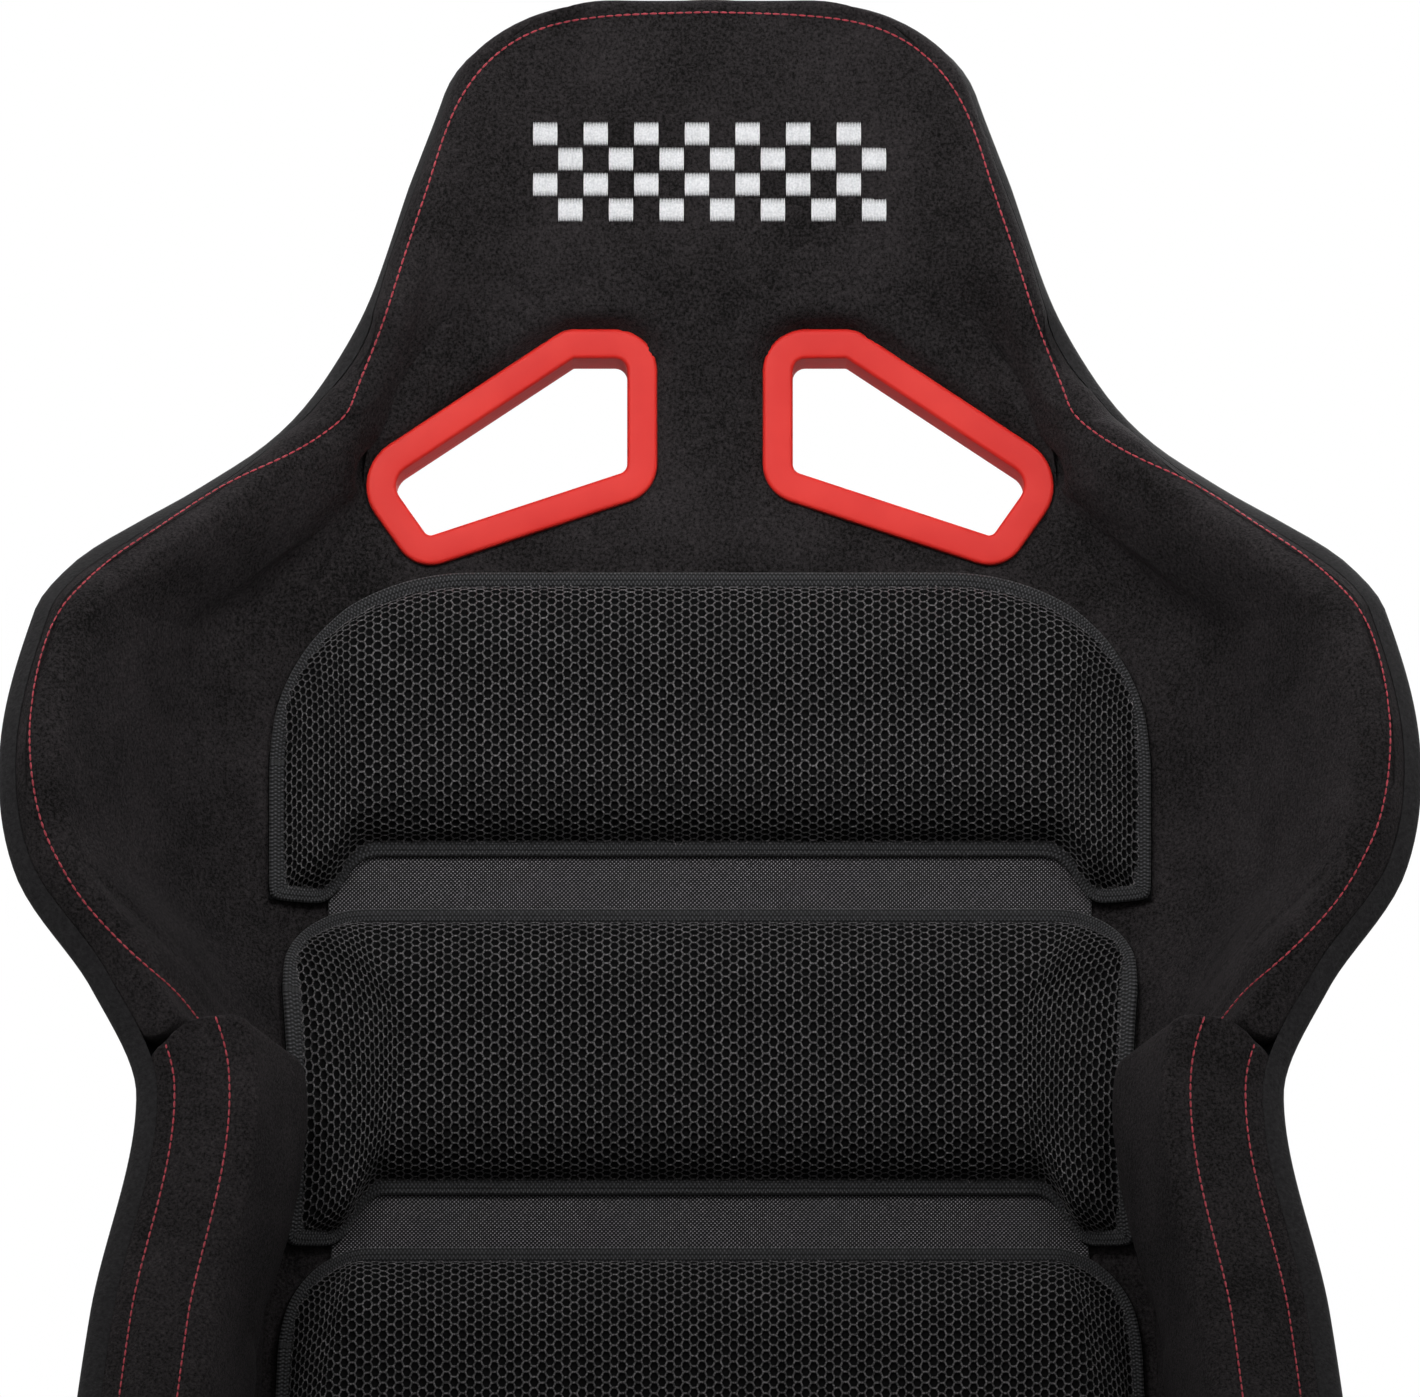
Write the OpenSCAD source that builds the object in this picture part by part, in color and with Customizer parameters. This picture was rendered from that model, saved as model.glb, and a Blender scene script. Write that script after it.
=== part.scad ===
// Fixed-back racing seat: an upholstered bucket shell with harness openings, a mesh back and
// base cushion, side mounts and a lockable pair of slider rails.
// Millimetres. +Z is up, the sitter faces -Y, and the origin is the centre of the four floor
// bolts, on the floor.

/* [Profile of the shell, from the front lip over the seat to the head] */
// Length of the rounded front lip, along the profile
lip_len = 55; // [45:1:65]
// Length of the straight seat pan
pan_len = 300; // [280:5:330]
// Bend radius between the pan and the back
hip_radius = 110; // [100:5:130]
// Length of the straight lower back
back_len = 400; // [370:5:430]
// Length of the gentle bend below the harness openings
neck_len = 100; // [80:5:120]
// Length of the straight head section
head_len = 250; // [235:5:270]
// Slope of the lip where it starts, in degrees
lip_angle = 55; // [45:1:60]
// Fall of the seat pan towards the rear, in degrees
pan_tilt = 8; // [4:1:10]
// Recline of the lower back from upright, in degrees
back_recline = 15; // [12:1:18]
// Recline of the head section from upright, in degrees
head_recline = 9; // [7:1:11]
// Height of the lowest point of the pan above the floor
pan_height = 78; // [74:1:90]

/* [Outline, seen from the front] */
// Width across the top of the head, inside its rounded corners
head_w = 190; // [176:2:204]
// Width of the neck, above the shoulders
neck_w = 298; // [284:2:310]
// Width across the shoulder wings
shoulder_w = 560; // [540:2:580]
// Width at the waist
waist_w = 452; // [444:2:466]
// Width across the hips
hip_w = 516; // [510:2:526]
// Width across the front of the thigh bolsters
thigh_w = 502; // [494:2:510]
// Height of the rounded corners of the head
corner_h = 38; // [32:1:44]
// Width of the rounded corners of the head
corner_w = 54; // [46:1:60]

/* [Reach of the sides, forward of the back or above the pan] */
// Reach of the shoulder wings
wing_reach = 100; // [92:2:108]
// Reach of the sides at the waist
waist_reach = 98; // [92:2:106]
// Reach of the sides at the hips
hip_reach = 165; // [155:5:170]
// Reach of the sides beside the thighs
thigh_reach = 118; // [110:2:126]

/* [Shell and upholstery] */
// Wall of the moulded shell
shell_t = 4; // [3:0.5:5]
// Thickness of the rear cover
cover_t = 2.5; // [1.5:0.5:3]
// Foam at the head
head_foam = 26; // [22:1:30]
// Foam behind the mesh cushion
back_foam = 12; // [10:1:14]
// Foam on the shoulder wings
wing_foam = 20; // [18:1:22]
// Foam of the side bolsters
bolster_foam = 45; // [40:1:48]
// Distance from the top of the shell to the upper end of the bolsters
bolster_drop = 449; // [442:1:456]
// Distance from the centre to the inner edge of the bolsters
bolster_in = 183; // [180:1:187]
// Gap between neighbouring soft pieces
soft_gap = 0.4; // [0.3:0.1:0.6]

/* [Harness openings] */
// Distance from the top of the shell to the middle of an opening
opening_drop = 181.5; // [178:0.5:185]
// Distance from the centre to the middle of an opening
opening_x = 79; // [76:1:82]
// Width of the bezel's flange
bezel_w = 12; // [10:0.5:13]
// Thickness of the bezel's flange
bezel_t = 4; // [3:0.5:5]
// Wall of the sleeve that lines the opening
sleeve_t = 2; // [1.5:0.25:2.5]
// Depth of foam that the bezel's flange is sunk to, measured from the shell
bezel_seat = 11; // [10:0.5:12]

/* [Mesh cushion] */
// Distance from the top of the shell to the first back pad
pads_drop = 232.5; // [230:0.5:238]
// Pitch of the pads on the back
pad_pitch = 138.5; // [137:0.5:141]
// Height of a pad, from its top edge to its straight lower edge
pad_h = 117; // [108:1:118]
// Half the width of the upper pad
top_pad_x = 181; // [172:1:184]
// Half the width of the other pads
pad_x = 178; // [168:1:179]
// How far the corners of a pad hang below its lower edge
pad_leg = 20; // [16:0.5:21]
// Thickness of a pad at its crown
pad_t = 24; // [20:1:28]
// Thickness of the woven panel that carries the pads
panel_t = 2; // [1.5:0.5:3]
// Thickness of the bound edge of a pad
edge_t = 2.4; // [2:0.2:3]

/* [Side mounts and slider] */
// Space between the hips and a side bracket
side_gap = 3; // [2:0.5:5]
// Plate thickness of the side brackets
bracket_t = 4; // [3:0.5:5]
// Width of a bracket's foot
foot_w = 44; // [42:1:48]
// Length of a bracket
bracket_len = 330; // [320:5:340]
// Height of the front side bolts above the pan
front_bolt_h = 76; // [74:1:78]
// Height of the rear side bolts above the pan
rear_bolt_h = 88; // [84:1:92]
// Distance of the front side bolts from the front lip, along the pan
front_bolt_s = 112; // [105:1:125]
// Distance of the rear side bolts from the front lip, along the pan
rear_bolt_s = 420; // [400:5:425]
// Length of the lower rails
rail_len = 440; // [430:10:460]
// Length of the upper rails
upper_len = 320; // [300:10:330]
// Width of the lower rails
rail_w = 46; // [45:1:50]
// Height of the lower rails
rail_h = 26; // [25:0.5:28]
// Sheet thickness of the rails
rail_t = 2.5; // [2:0.25:2.5]
// Width of the upper rail's hat section
hat_w = 22; // [21:0.5:22]
// Distance from the floor to the top of the upper rails
upper_top = 34; // [33:0.5:37]
// Distance between a rail's two floor bolts
floor_bolt_y = 380; // [370:5:390]
// Radius of the M8 clearance holes
bolt_hole_r = 4.25; // [4.2:0.05:4.5]
// Travel of the seat each way from the middle
travel = 100; // [90:10:100]
// Pitch of the lock slots
lock_pitch = 12; // [11:1:14]
// Distance of the release bar's pivots from the middle
pivot_y = 72; // [68:1:78]
// Height of the release bar's pivots above the floor
pivot_z = 50; // [49:0.5:54]
// Distance of the bar's front run from the middle
bar_y = 236; // [226:2:240]
// Radius of the release bar's tube
bar_r = 6; // [5:0.5:7]
// Outer radius of the foam grip
grip_r = 10; // [9:0.5:11]
// Length of the foam grip
grip_len = 130; // [110:5:150]

/* [Hidden] */
$fn = 48;
eps = 0.01;
fit_gap = 0.3;

// ---- Profile: a chain of straight and curved runs in the Y-Z plane ----

pan_angle = -pan_tilt;
back_angle = 90 - back_recline;
head_angle = 90 - head_recline;
hip_len = hip_radius * (back_angle - pan_angle) * PI / 180;
// Each run is [length, slope at its start, slope at its end]
runs = [
    [lip_len, lip_angle, pan_angle],
    [pan_len, pan_angle, pan_angle],
    [hip_len, pan_angle, back_angle],
    [back_len, back_angle, back_angle],
    [neck_len, back_angle, head_angle],
    [head_len, head_angle, head_angle]
];
hip_start = lip_len + pan_len;
hip_end = hip_start + hip_len;
top_len = hip_end + back_len + neck_len + head_len;

function along(run, s) =
    let (turn = run[2] - run[1], a = run[1] + turn * s / run[0])
    abs(turn) < 0.001
        ? [s * cos(run[1]), s * sin(run[1])]
        : run[0] * 180 / PI / turn * [sin(a) - sin(run[1]), cos(run[1]) - cos(a)];
function run_start(i) = i == 0 ? 0 : run_start(i - 1) + runs[i - 1][0];
function run_origin(i) = i == 0 ? [0, 0] : run_origin(i - 1) + along(runs[i - 1], runs[i - 1][0]);
starts = [for (i = [0:len(runs) - 1]) run_start(i)];
origins = [for (i = [0:len(runs) - 1]) run_origin(i)];
function run_at(s, i = 5) = i == 0 || s >= starts[i] ? i : run_at(s, i - 1);
function raw_profile(s) =
    let (i = run_at(s), over = max(0, s - top_len), t = s - starts[i] - over)
    origins[i] + along(runs[i], t) + over * [cos(head_angle), sin(head_angle)];
// The pan's lowest point lies where the hip bend is level
low_s = hip_start + hip_radius * pan_tilt * PI / 180;
pan_rear_y = 95;
profile_shift = [pan_rear_y - raw_profile(hip_start)[0], pan_height - raw_profile(low_s)[1]];
function profile(s) = raw_profile(s) + profile_shift;

function ease(a, b, x) = let (t = max(0, min(1, (x - a) / (b - a)))) t * t * (3 - 2 * t);
function mix(a, b, t) = a + (b - a) * t;
// The sides fan out through the hip bend over a longer stretch than the bend itself
fan = 150;
function side_angle(s) =
    mix(pan_angle, back_angle, ease(hip_start - fan, hip_end + fan, s))
    + (head_angle - back_angle) * ease(starts[4], starts[5], s);
function side_dir(s) = [-sin(side_angle(s)), cos(side_angle(s))];

// ---- Sections: flat middle, round corner and straight flank, set out down from the top ----

nose = 7;
cover_gap = 1.2;
skin = shell_t + cover_gap + cover_t;
// [distance from the top, half width, reach of the side, angle of the side, corner radius]
sections = [
    [0, head_w / 2, 10, 20, 150],
    [corner_h, head_w / 2 + 9, 14, 22, 150],
    [103, mix(head_w, neck_w, 0.61) / 2, 20, 28, 105],
    [138, mix(head_w, neck_w, 0.83) / 2, 21, 28, 90],
    [170, mix(neck_w, shoulder_w, 0.1) / 2, 21, 29, 60],
    [187, mix(neck_w, shoulder_w, 0.24) / 2, mix(21, wing_reach, 0.12), 34, 56],
    [205, mix(neck_w, shoulder_w, 0.42) / 2, mix(21, wing_reach, 0.28), 40, 62],
    [223, mix(neck_w, shoulder_w, 0.62) / 2, mix(21, wing_reach, 0.48), 45, 76],
    [241, mix(neck_w, shoulder_w, 0.8) / 2, mix(21, wing_reach, 0.66), 49, 90],
    [259, mix(neck_w, shoulder_w, 0.9) / 2, mix(21, wing_reach, 0.8), 52, 100],
    [325, shoulder_w / 2, wing_reach, 54, 115],
    [376, shoulder_w / 2 - 6, wing_reach, 56, 112],
    [420, mix(shoulder_w, waist_w, 0.65) / 2, waist_reach, 60, 98],
    [467, waist_w / 2, waist_reach, 68, 78],
    [562, mix(waist_w, hip_w, 0.55) / 2, mix(waist_reach, hip_reach, 0.25), 75, 70],
    [670, mix(waist_w, hip_w, 0.9) / 2, mix(waist_reach, hip_reach, 0.7), 81, 72],
    [780, hip_w / 2, hip_reach, 84, 78],
    [860, hip_w / 2, mix(hip_reach, thigh_reach, 0.3), 85, 80],
    [950, hip_w / 2, thigh_reach, 85, 80],
    [1050, mix(hip_w, thigh_w, 0.4) / 2, thigh_reach - 8, 84, 76],
    [1160, thigh_w / 2, thigh_reach - 26, 81, 70],
    [1260, thigh_w / 2 - 14, 52, 74, 62]
];
last_section = len(sections) - 1;
function section_at(v, i = 0) =
    i >= last_section - 1 || v < sections[i + 1][0] ? i : section_at(v, i + 1);
function slope_of(i, c) =
    let (a = max(0, i - 1), b = min(last_section, i + 1))
    (sections[b][c] - sections[a][c]) / (sections[b][0] - sections[a][0]);
// A cubic through the sections' values, with the slopes of their neighbours
function smooth(v, c) =
    let (i = section_at(v), w = sections[i + 1][0] - sections[i][0],
         t = max(0, min(1, (v - sections[i][0]) / w)), t2 = t * t, t3 = t2 * t)
    (2 * t3 - 3 * t2 + 1) * sections[i][c] + (t3 - 2 * t2 + t) * w * slope_of(i, c)
    + (3 * t2 - 2 * t3) * sections[i + 1][c] + (t3 - t2) * w * slope_of(i + 1, c);
function corner_cut(v) =
    v >= corner_h ? 0 : corner_w * (1 - sqrt(1 - pow(1 - max(0, v) / corner_h, 2)));

// Half width, flat half, corner radius, flank angle and flank length of the section at v
function section(v, cut) =
    let (full = smooth(v, 1), a = smooth(v, 3),
         w = full - cut - cover_gap * cos(a) - skin * sin(a),
         r = min(smooth(v, 4), 0.75 * w / sin(a)),
         reach = smooth(v, 2) * (1 - cut / full),
         flank = max(1, (reach - r * (1 - cos(a))) / sin(a)))
    [w, w - r * sin(a) - flank * cos(a), r, a, flank];

// Across a section, q runs 0 to 1 on the flat, 1 to 2 round the corner and 2 to 3 up the
// flank. Past 3 it carries straight on, 10 mm for each 1.
function across(c, q) =
    q <= 1 ? [c[1] * q, 0]
    : q <= 2 ? let (a = c[3] * (q - 1)) [c[1] + c[2] * sin(a), c[2] * (1 - cos(a))]
    : let (t = q <= 3 ? (q - 2) * c[4] : c[4] + (q - 3) * 10)
      [c[1] + c[2] * sin(c[3]) + t * cos(c[3]), c[2] * (1 - cos(c[3])) + t * sin(c[3])];
// q at a distance x from the centre, up to the top of the corner
function q_of(v, x) =
    let (c = section(v, corner_cut(v)), r = (abs(x) - c[1]) / c[2])
    sign(x) * (abs(x) <= c[1] ? abs(x) / c[1] : 1 + asin(min(sin(c[3]), r)) / c[3]);

// The shell is flat round each harness opening
flat_inner = 60;
flat_outer = 78;
function opening_mask(x, v) =
    1 - ease(flat_inner, flat_outer, norm([abs(x) - opening_x, v - opening_drop]));
// The head's upper edge is slightly bowed
bow = 3;
bow_end = 60;
function base(v, q, cut) =
    let (c = section(v, cut), p = across(c, abs(q)), h = p[1] * (1 - opening_mask(p[0], v)),
         s = top_len - v - bow * max(0, 1 - v / bow_end) * pow(min(1, abs(q) / 3), 2),
         o = profile(s) + h * side_dir(s))
    [sign(q) * p[0], o[0], o[1]];

dq = 0.02;
dv = 0.5;
function normal(v, q) =
    let (u = base(v, q + dq, 0) - base(v, q - dq, 0), w = base(v - dv, q, 0) - base(v + dv, q, 0),
         m = cross(u, w))
    m / norm(m);

// One grid of points and normals serves every layer, so that the layers never cross.
// Its columns are the corner's start, its middle, the edge of the bolster and so on, up to
// the rim, and one 10 mm past the rim. Its rows include every place where a piece starts.
shell_top = nose;
shell_end = top_len - nose;
pad_end = top_len - hip_start + 25;
end_r = 12;
bolster_top = bolster_drop + 2 * soft_gap + end_r;
function grid_rows() = concat(
    [0, 1, 3.5], [shell_top, 13, 22, 36, 62, 90], steps(115, 262, 7), steps(290, bolster_drop - 24, 4),
    [bolster_drop], steps(bolster_top + 16, pad_end - 195, 5), steps(pad_end - 162, pad_end, 6),
    steps(pad_end + 60, top_len - 75, 3), steps(top_len - 55, shell_end, 3), [top_len, top_len + 8]);
function steps(a, b, n) = [for (i = [0:n]) mix(a, b, i / n)];
rows = grid_rows();
function edge_q(v) = max(1.15, min(1.85, q_of(v, bolster_in)));
function grid_qs(v) = let (e = edge_q(v)) [1, (1 + e) / 2, e, (e + 2) / 2, 2, 2.5, 3, 4];
rim_u = 7;
edge_u = 3;
grid = [for (v = rows) let (cut = corner_cut(v))
    [for (q = grid_qs(v)) [base(v, q, cut), normal(v, q)]]];
function row_at(v, i = 0) = i >= len(rows) - 2 || v < rows[i + 1] ? i : row_at(v, i + 1);
function node_at(i, j, n) =
    let (g = grid[i][max(0, j)], p = g[0] + n * g[1]) j < 0 ? [-p[0], p[1], p[2]] : p;
// The point of the grid at the row v and the column u, n in front of the shell's front face.
// Columns run from 0 in the middle to 1 at the corner's start and to 7 at the rim.
function at(v, u, n) =
    u < 0 ? let (p = at(v, -u, n)) [-p[0], p[1], p[2]]
    : let (i = row_at(v), w = (v - rows[i]) / (rows[i + 1] - rows[i]),
           j = u < 1 ? -1 : min(6, floor(u) - 1), t = u < 1 ? (u + 1) / 2 : u - 1 - j,
           a = node_at(i, j, n), b = node_at(i, j + 1, n),
           c = node_at(i + 1, j + 1, n), d = node_at(i + 1, j, n))
      t + w <= 1 ? a + t * (b - a) + w * (d - a) : c + (1 - t) * (d - c) + (1 - w) * (b - c);
// The column at a distance x from the centre
function u_of(v, x) = sign(x) * lookup(abs(x), [for (u = [0:rim_u]) [at(v, u, 0)[0], u]]);
function rows_between(a, b) = concat([a], [for (v = rows) if (v > a + 4 && v < b - 4) v], [b]);

// ---- Solids built from two grids of points, a front one and a back one ----

function quad(a, b, c, d, other = false) = other ? [[a, b, d], [b, c, d]] : [[a, b, c], [a, c, d]];
function flat(list) = [for (l = list) each l];
// Left of the column "centre" the squares are split one way, and right of it the mirrored way
module slab(front, back, centre = undef) {
    rows = len(front);
    cols = len(front[0]);
    mid = is_undef(centre) ? (cols - 1) / 2 : centre;
    all = rows * cols;
    points = concat(flat(front), flat(back));
    sheet = [for (i = [0:rows - 2], j = [0:cols - 2]) let (k = i * cols + j)
        [k, k + 1, k + cols + 1, k + cols, j >= mid]];
    front_faces = [for (f = sheet) quad(f[0], f[1], f[2], f[3], f[4])];
    back_faces = [for (f = sheet) quad(all + f[0], all + f[3], all + f[2], all + f[1], f[4])];
    edge_rows = [for (j = [0:cols - 2]) each [
        quad(j + 1, j, all + j, all + j + 1),
        let (k = (rows - 1) * cols + j) quad(k, k + 1, all + k + 1, all + k)
    ]];
    edge_cols = [for (i = [0:rows - 2]) each [
        let (k = i * cols) quad(k, k + cols, all + k + cols, all + k),
        let (k = i * cols + cols - 1) quad(k + cols, k, all + k, all + k + cols)
    ]];
    polyhedron(points, flat(concat(front_faces, back_faces, edge_rows, edge_cols)));
}
// A rounded end: how far each step runs on, and how much of the thickness is left
nose_steps = [[0, 1], [0.5, 0.87], [0.87, 0.5], [1, 0.14]];
function mirrored(list) =
    concat([for (i = [len(list) - 1:-1:0]) -list[i]], [for (q = list) if (q > 0) q]);

// ---- Shell and rear cover ----

shell_us = [for (u = [1:rim_u]) u];
shell_vs = rows_between(shell_top, shell_end);
function layer(vs, us, n) = [for (v = vs) [for (u = us) at(v, u, n)]];
module shell_body() {
    us = mirrored(shell_us);
    slab(layer(shell_vs, us, 0), layer(shell_vs, us, -shell_t));
}
module shell() {
    color("#26272a") difference() {
        shell_body();
        both_sides() {
            at_opening() opening_cut(sleeve_room);
            at_opening() at_screws(-20) cylinder(r = screw_hole_r, h = 40, $fn = 8);
            for (b = [front_bolt, rear_bolt])
                at_side_bolt(b, inner_x(b) - 20) cylinder(r = insert_r + fit_gap, h = 40);
        }
    }
}

// The cover turns round the shell's edge and laps against the front upholstery
top_gap = 2 * cover_gap;
function turn(v) = cover_gap / 10 * mix(6, 1, ease(0, corner_h, v));
lap = -3 * fit_gap;
lap_t = 1.5;
function cover_us(v) = concat(shell_us, [for (k = [0, 0.02, cover_t / 10]) rim_u + turn(v) + k]);
cover_vs = concat([shell_top - top_gap - cover_t, shell_top - top_gap - 0.2, shell_top - top_gap],
                  shell_vs,
                  [shell_end + cover_gap, shell_end + cover_gap + 0.2, shell_end + cover_gap + cover_t]);
function turned(v, u, by) =
    abs(u) > rim_u + turn(v) + by
    || v < shell_top - top_gap - by * 10
    || v > shell_end + cover_gap + by * 10;
function cover_inner(v, u) = turned(v, u, 0.01) ? lap : -shell_t - cover_gap;
function cover_outer(v, u) = turned(v, u, 0.03) ? lap - lap_t : -skin;
module rear_cover() {
    color("#1b1b1d") difference() {
        slab([for (v = cover_vs) [for (u = mirrored(cover_us(v))) at(v, u, cover_inner(v, u))]],
             [for (v = cover_vs) [for (u = mirrored(cover_us(v))) at(v, u, cover_outer(v, u))]]);
        both_sides() {
            at_opening() opening_cut(sleeve_room);
            at_opening() at_screws(-20) cylinder(r = screw_hole_r, h = 40, $fn = 8);
            for (b = [front_bolt, rear_bolt])
                at_side_bolt(b, inner_x(b) - 20) cylinder(r = spacer_r + fit_gap, h = 40);
        }
    }
}

// ---- Front upholstery ----

function centre_foam(v) =
    v < 60 ? mix(head_foam - 4, head_foam, ease(0, 60, v))
    : v < 120 ? head_foam
    : v < 170 ? mix(head_foam, back_foam + 4, ease(120, 170, v))
    : mix(back_foam + 4, back_foam, ease(170, 230, v));
function foam(v, u) =
    mix(centre_foam(v), v > bolster_drop ? centre_foam(v) : wing_foam, ease(2, rim_u, abs(u)));
// The shoulder pad is full width, and the back and seat pads run between the bolsters
function wide_row(v) =
    [for (u = mirrored(concat(shell_us, [for (k = [1:3]) rim_u + nose_steps[k][0] * nose / 10])))
        [u, foam(v, u), abs(u) <= rim_u ? 1 : nose_pinch(abs(u) - rim_u)]];
function nose_pinch(d) = sqrt(max(0.02, 1 - pow(d * 10 / nose, 2)));
function narrow_row(v) =
    let (reach = edge_u - 3.5 * soft_gap / (at(v, edge_u, 0)[0] - at(v, edge_u - 1, 0)[0]))
    [for (u = mirrored([1, 2, reach])) [u, centre_foam(v), abs(u) == reach ? 0.8 : 1]];
function front_of(v, row, pinch) =
    [for (c = row) let (m = (c[1] + fit_gap) / 2) at(v, c[0], m + (c[1] - fit_gap) / 2 * c[2] * pinch)];
function back_of(v, row, pinch) =
    [for (c = row) let (m = (c[1] + fit_gap) / 2) at(v, c[0], m - (c[1] - fit_gap) / 2 * c[2] * pinch)];
module shoulder_pad() {
    top_rows = [for (k = [3:-1:1]) [shell_top - nose_steps[k][0] * nose, nose_steps[k][1]]];
    low_rows = [for (k = [1:3]) [bolster_drop - end_r + nose_steps[k][0] * end_r, nose_steps[k][1]]];
    rs = concat(top_rows, [for (v = rows_between(shell_top, bolster_drop - end_r)) [v, 1]], low_rows);
    color("#1d1d1f") difference() {
        slab([for (r = rs) front_of(r[0], wide_row(r[0]), r[1])],
             [for (r = rs) back_of(r[0], wide_row(r[0]), r[1])]);
        both_sides() at_opening() {
            opening_cut(sleeve_room);
            bezel_pocket();
            at_screws(-10) cylinder(r = boss_r + fit_gap, h = 40, $fn = 8);
        }
    }
}
module narrow_pad(rs) {
    color("#1d1d1f")
        slab([for (r = rs) front_of(r[0], narrow_row(r[0]), r[1])],
             [for (r = rs) back_of(r[0], narrow_row(r[0]), r[1])]);
}
module back_pad() {
    narrow_pad([for (v = rows_between(bolster_drop + 2 * soft_gap, pad_end - soft_gap)) [v, 1]]);
}
module seat_pad() {
    last = [for (k = [1:3]) [shell_end + nose_steps[k][0] * nose, nose_steps[k][1]]];
    narrow_pad(concat([for (v = rows_between(pad_end + soft_gap, shell_end)) [v, 1]], last));
}

// A bolster thickens from its inner edge to a blunt, rounded rim
bolster_us = [for (u = [edge_u:rim_u]) u];
function bolster_t(v) = bolster_foam * (0.55 + 0.45 * ease(0, 120, top_len - v));
function bolster_row(v) =
    let (t = bolster_t(v))
    concat([for (u = bolster_us)
                [u, mix(centre_foam(v), t, ease(edge_u - 0.3, rim_u - 1.6, u)), u == edge_u ? 0.8 : 1]],
           [for (k = [1:3]) let (out = nose_steps[k][0] * nose / 10) [rim_u + out, t, nose_pinch(out)]]);
module bolster() {
    first = [for (k = [3:-1:1]) [bolster_top - nose_steps[k][0] * end_r, nose_steps[k][1]]];
    last = [for (k = [1:3]) [shell_end + nose_steps[k][0] * nose, nose_steps[k][1]]];
    rs = concat(first, [for (v = rows_between(bolster_top, shell_end)) [v, 1]], last);
    slab([for (r = rs) front_of(r[0], bolster_row(r[0]), r[1])],
         [for (r = rs) back_of(r[0], bolster_row(r[0]), r[1])], 0);
}
module bolster_right() {
    color("#1d1d1f") difference() {
        bolster();
        for (b = [front_bolt, rear_bolt])
            at_side_bolt(b, inner_x(b) - insert_flange_t - 3 * fit_gap)
                cylinder(r = insert_flange_r + 2 * fit_gap, h = 40);
    }
}
module bolster_left() {
    mirror([1, 0, 0]) bolster_right();
}

// ---- Harness openings: an outline with five rounded corners, its bezels and screws ----

// Corners of the bezel's outer edge, right-hand side: x outward, y up, then the corner's radius
bezel_corners = [[-21, 48, 12], [66, -10, 20], [38, -50, 15], [-58, -18, 16], [-58, 48, 17]];
corner_steps = 3;
function turn_dir(a, b) = (b - a) / norm(b - a);
function corner_arc(p, a, b, r) =
    let (d1 = turn_dir(p, a), d2 = turn_dir(p, b), half = acos(d1 * d2) / 2,
         m = (d1 + d2) / norm(d1 + d2), c = p + m * r / sin(half),
         from = p + d1 * r / tan(half) - c, sweep = 180 - 2 * half,
         way = cross([from[0], from[1], 0], [d1[0], d1[1], 0])[2] > 0 ? -1 : 1)
    [for (k = [0:corner_steps]) let (t = way * sweep * k / corner_steps)
        c + [from[0] * cos(t) - from[1] * sin(t), from[0] * sin(t) + from[1] * cos(t)]];
// The outline moved inward by d, with its corner radii reduced to match
function inset_corner(a, p, b, d) =
    let (d1 = turn_dir(p, a), d2 = turn_dir(p, b), half = acos(d1 * d2) / 2,
         m = (d1 + d2) / norm(d1 + d2))
    p + m * d / sin(half);
function xy(c) = [c[0], c[1]];
function bezel_outline(d) =
    let (n = len(bezel_corners),
         moved = [for (i = [0:n - 1])
             inset_corner(xy(bezel_corners[(i + n - 1) % n]), xy(bezel_corners[i]),
                          xy(bezel_corners[(i + 1) % n]), d)])
    [for (i = [0:n - 1]) each corner_arc(moved[i], moved[(i + n - 1) % n], moved[(i + 1) % n],
                                         max(2, bezel_corners[i][2] - d))];

opening_s = top_len - opening_drop;
// The right-hand opening's own frame: X outward, Y up the back, Z out of the front
module at_opening() {
    o = profile(opening_s);
    translate([opening_x, o[0], o[1]]) rotate([head_angle, 0, 0]) children();
}
module both_sides() {
    children();
    mirror([1, 0, 0]) children();
}
sleeve_room = bezel_w - sleeve_t - 0.6;
module opening_cut(inset) {
    translate([0, 0, -60]) linear_extrude(140) polygon(bezel_outline(inset));
}
module bezel_pocket() {
    translate([0, 0, bezel_seat - fit_gap]) linear_extrude(60) polygon(bezel_outline(-fit_gap));
}
bevel = 1.2;
// The two sleeves meet inside the opening, and the flanges hold the shell between them
bezel_mid = -1;
rear_face = -skin - fit_gap;
boss_r = 3;
boss_gap = 2.5;
screw_r = 1.3;
screw_hole_r = 1.8;
screw_head_r = 2.8;
screw_head_h = 1.8;
screw_inset = 5.2;
screw_corners = [0, 1, 3];
module at_screws(z) {
    for (c = screw_corners) {
        p = bezel_outline(screw_inset)[c * (corner_steps + 1) + floor(corner_steps / 2)];
        translate([p[0], p[1], z]) children();
    }
}
module front_bezel_right() {
    color("#e23a33") at_opening() difference() {
        union() {
            translate([0, 0, bezel_seat]) linear_extrude(bezel_t - bevel) polygon(bezel_outline(0));
            translate([0, 0, bezel_seat + bezel_t - bevel])
                linear_extrude(bevel) polygon(bezel_outline(bevel));
            translate([0, 0, bezel_mid]) linear_extrude(bezel_seat - bezel_mid + eps)
                polygon(bezel_outline(bezel_w - sleeve_t));
            at_screws(boss_gap) cylinder(r = boss_r, h = bezel_seat + eps - boss_gap, $fn = 8);
        }
        opening_cut(bezel_w);
        at_screws(-eps) cylinder(r = screw_r + fit_gap / 2, h = bezel_seat, $fn = 8);
    }
}
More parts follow.
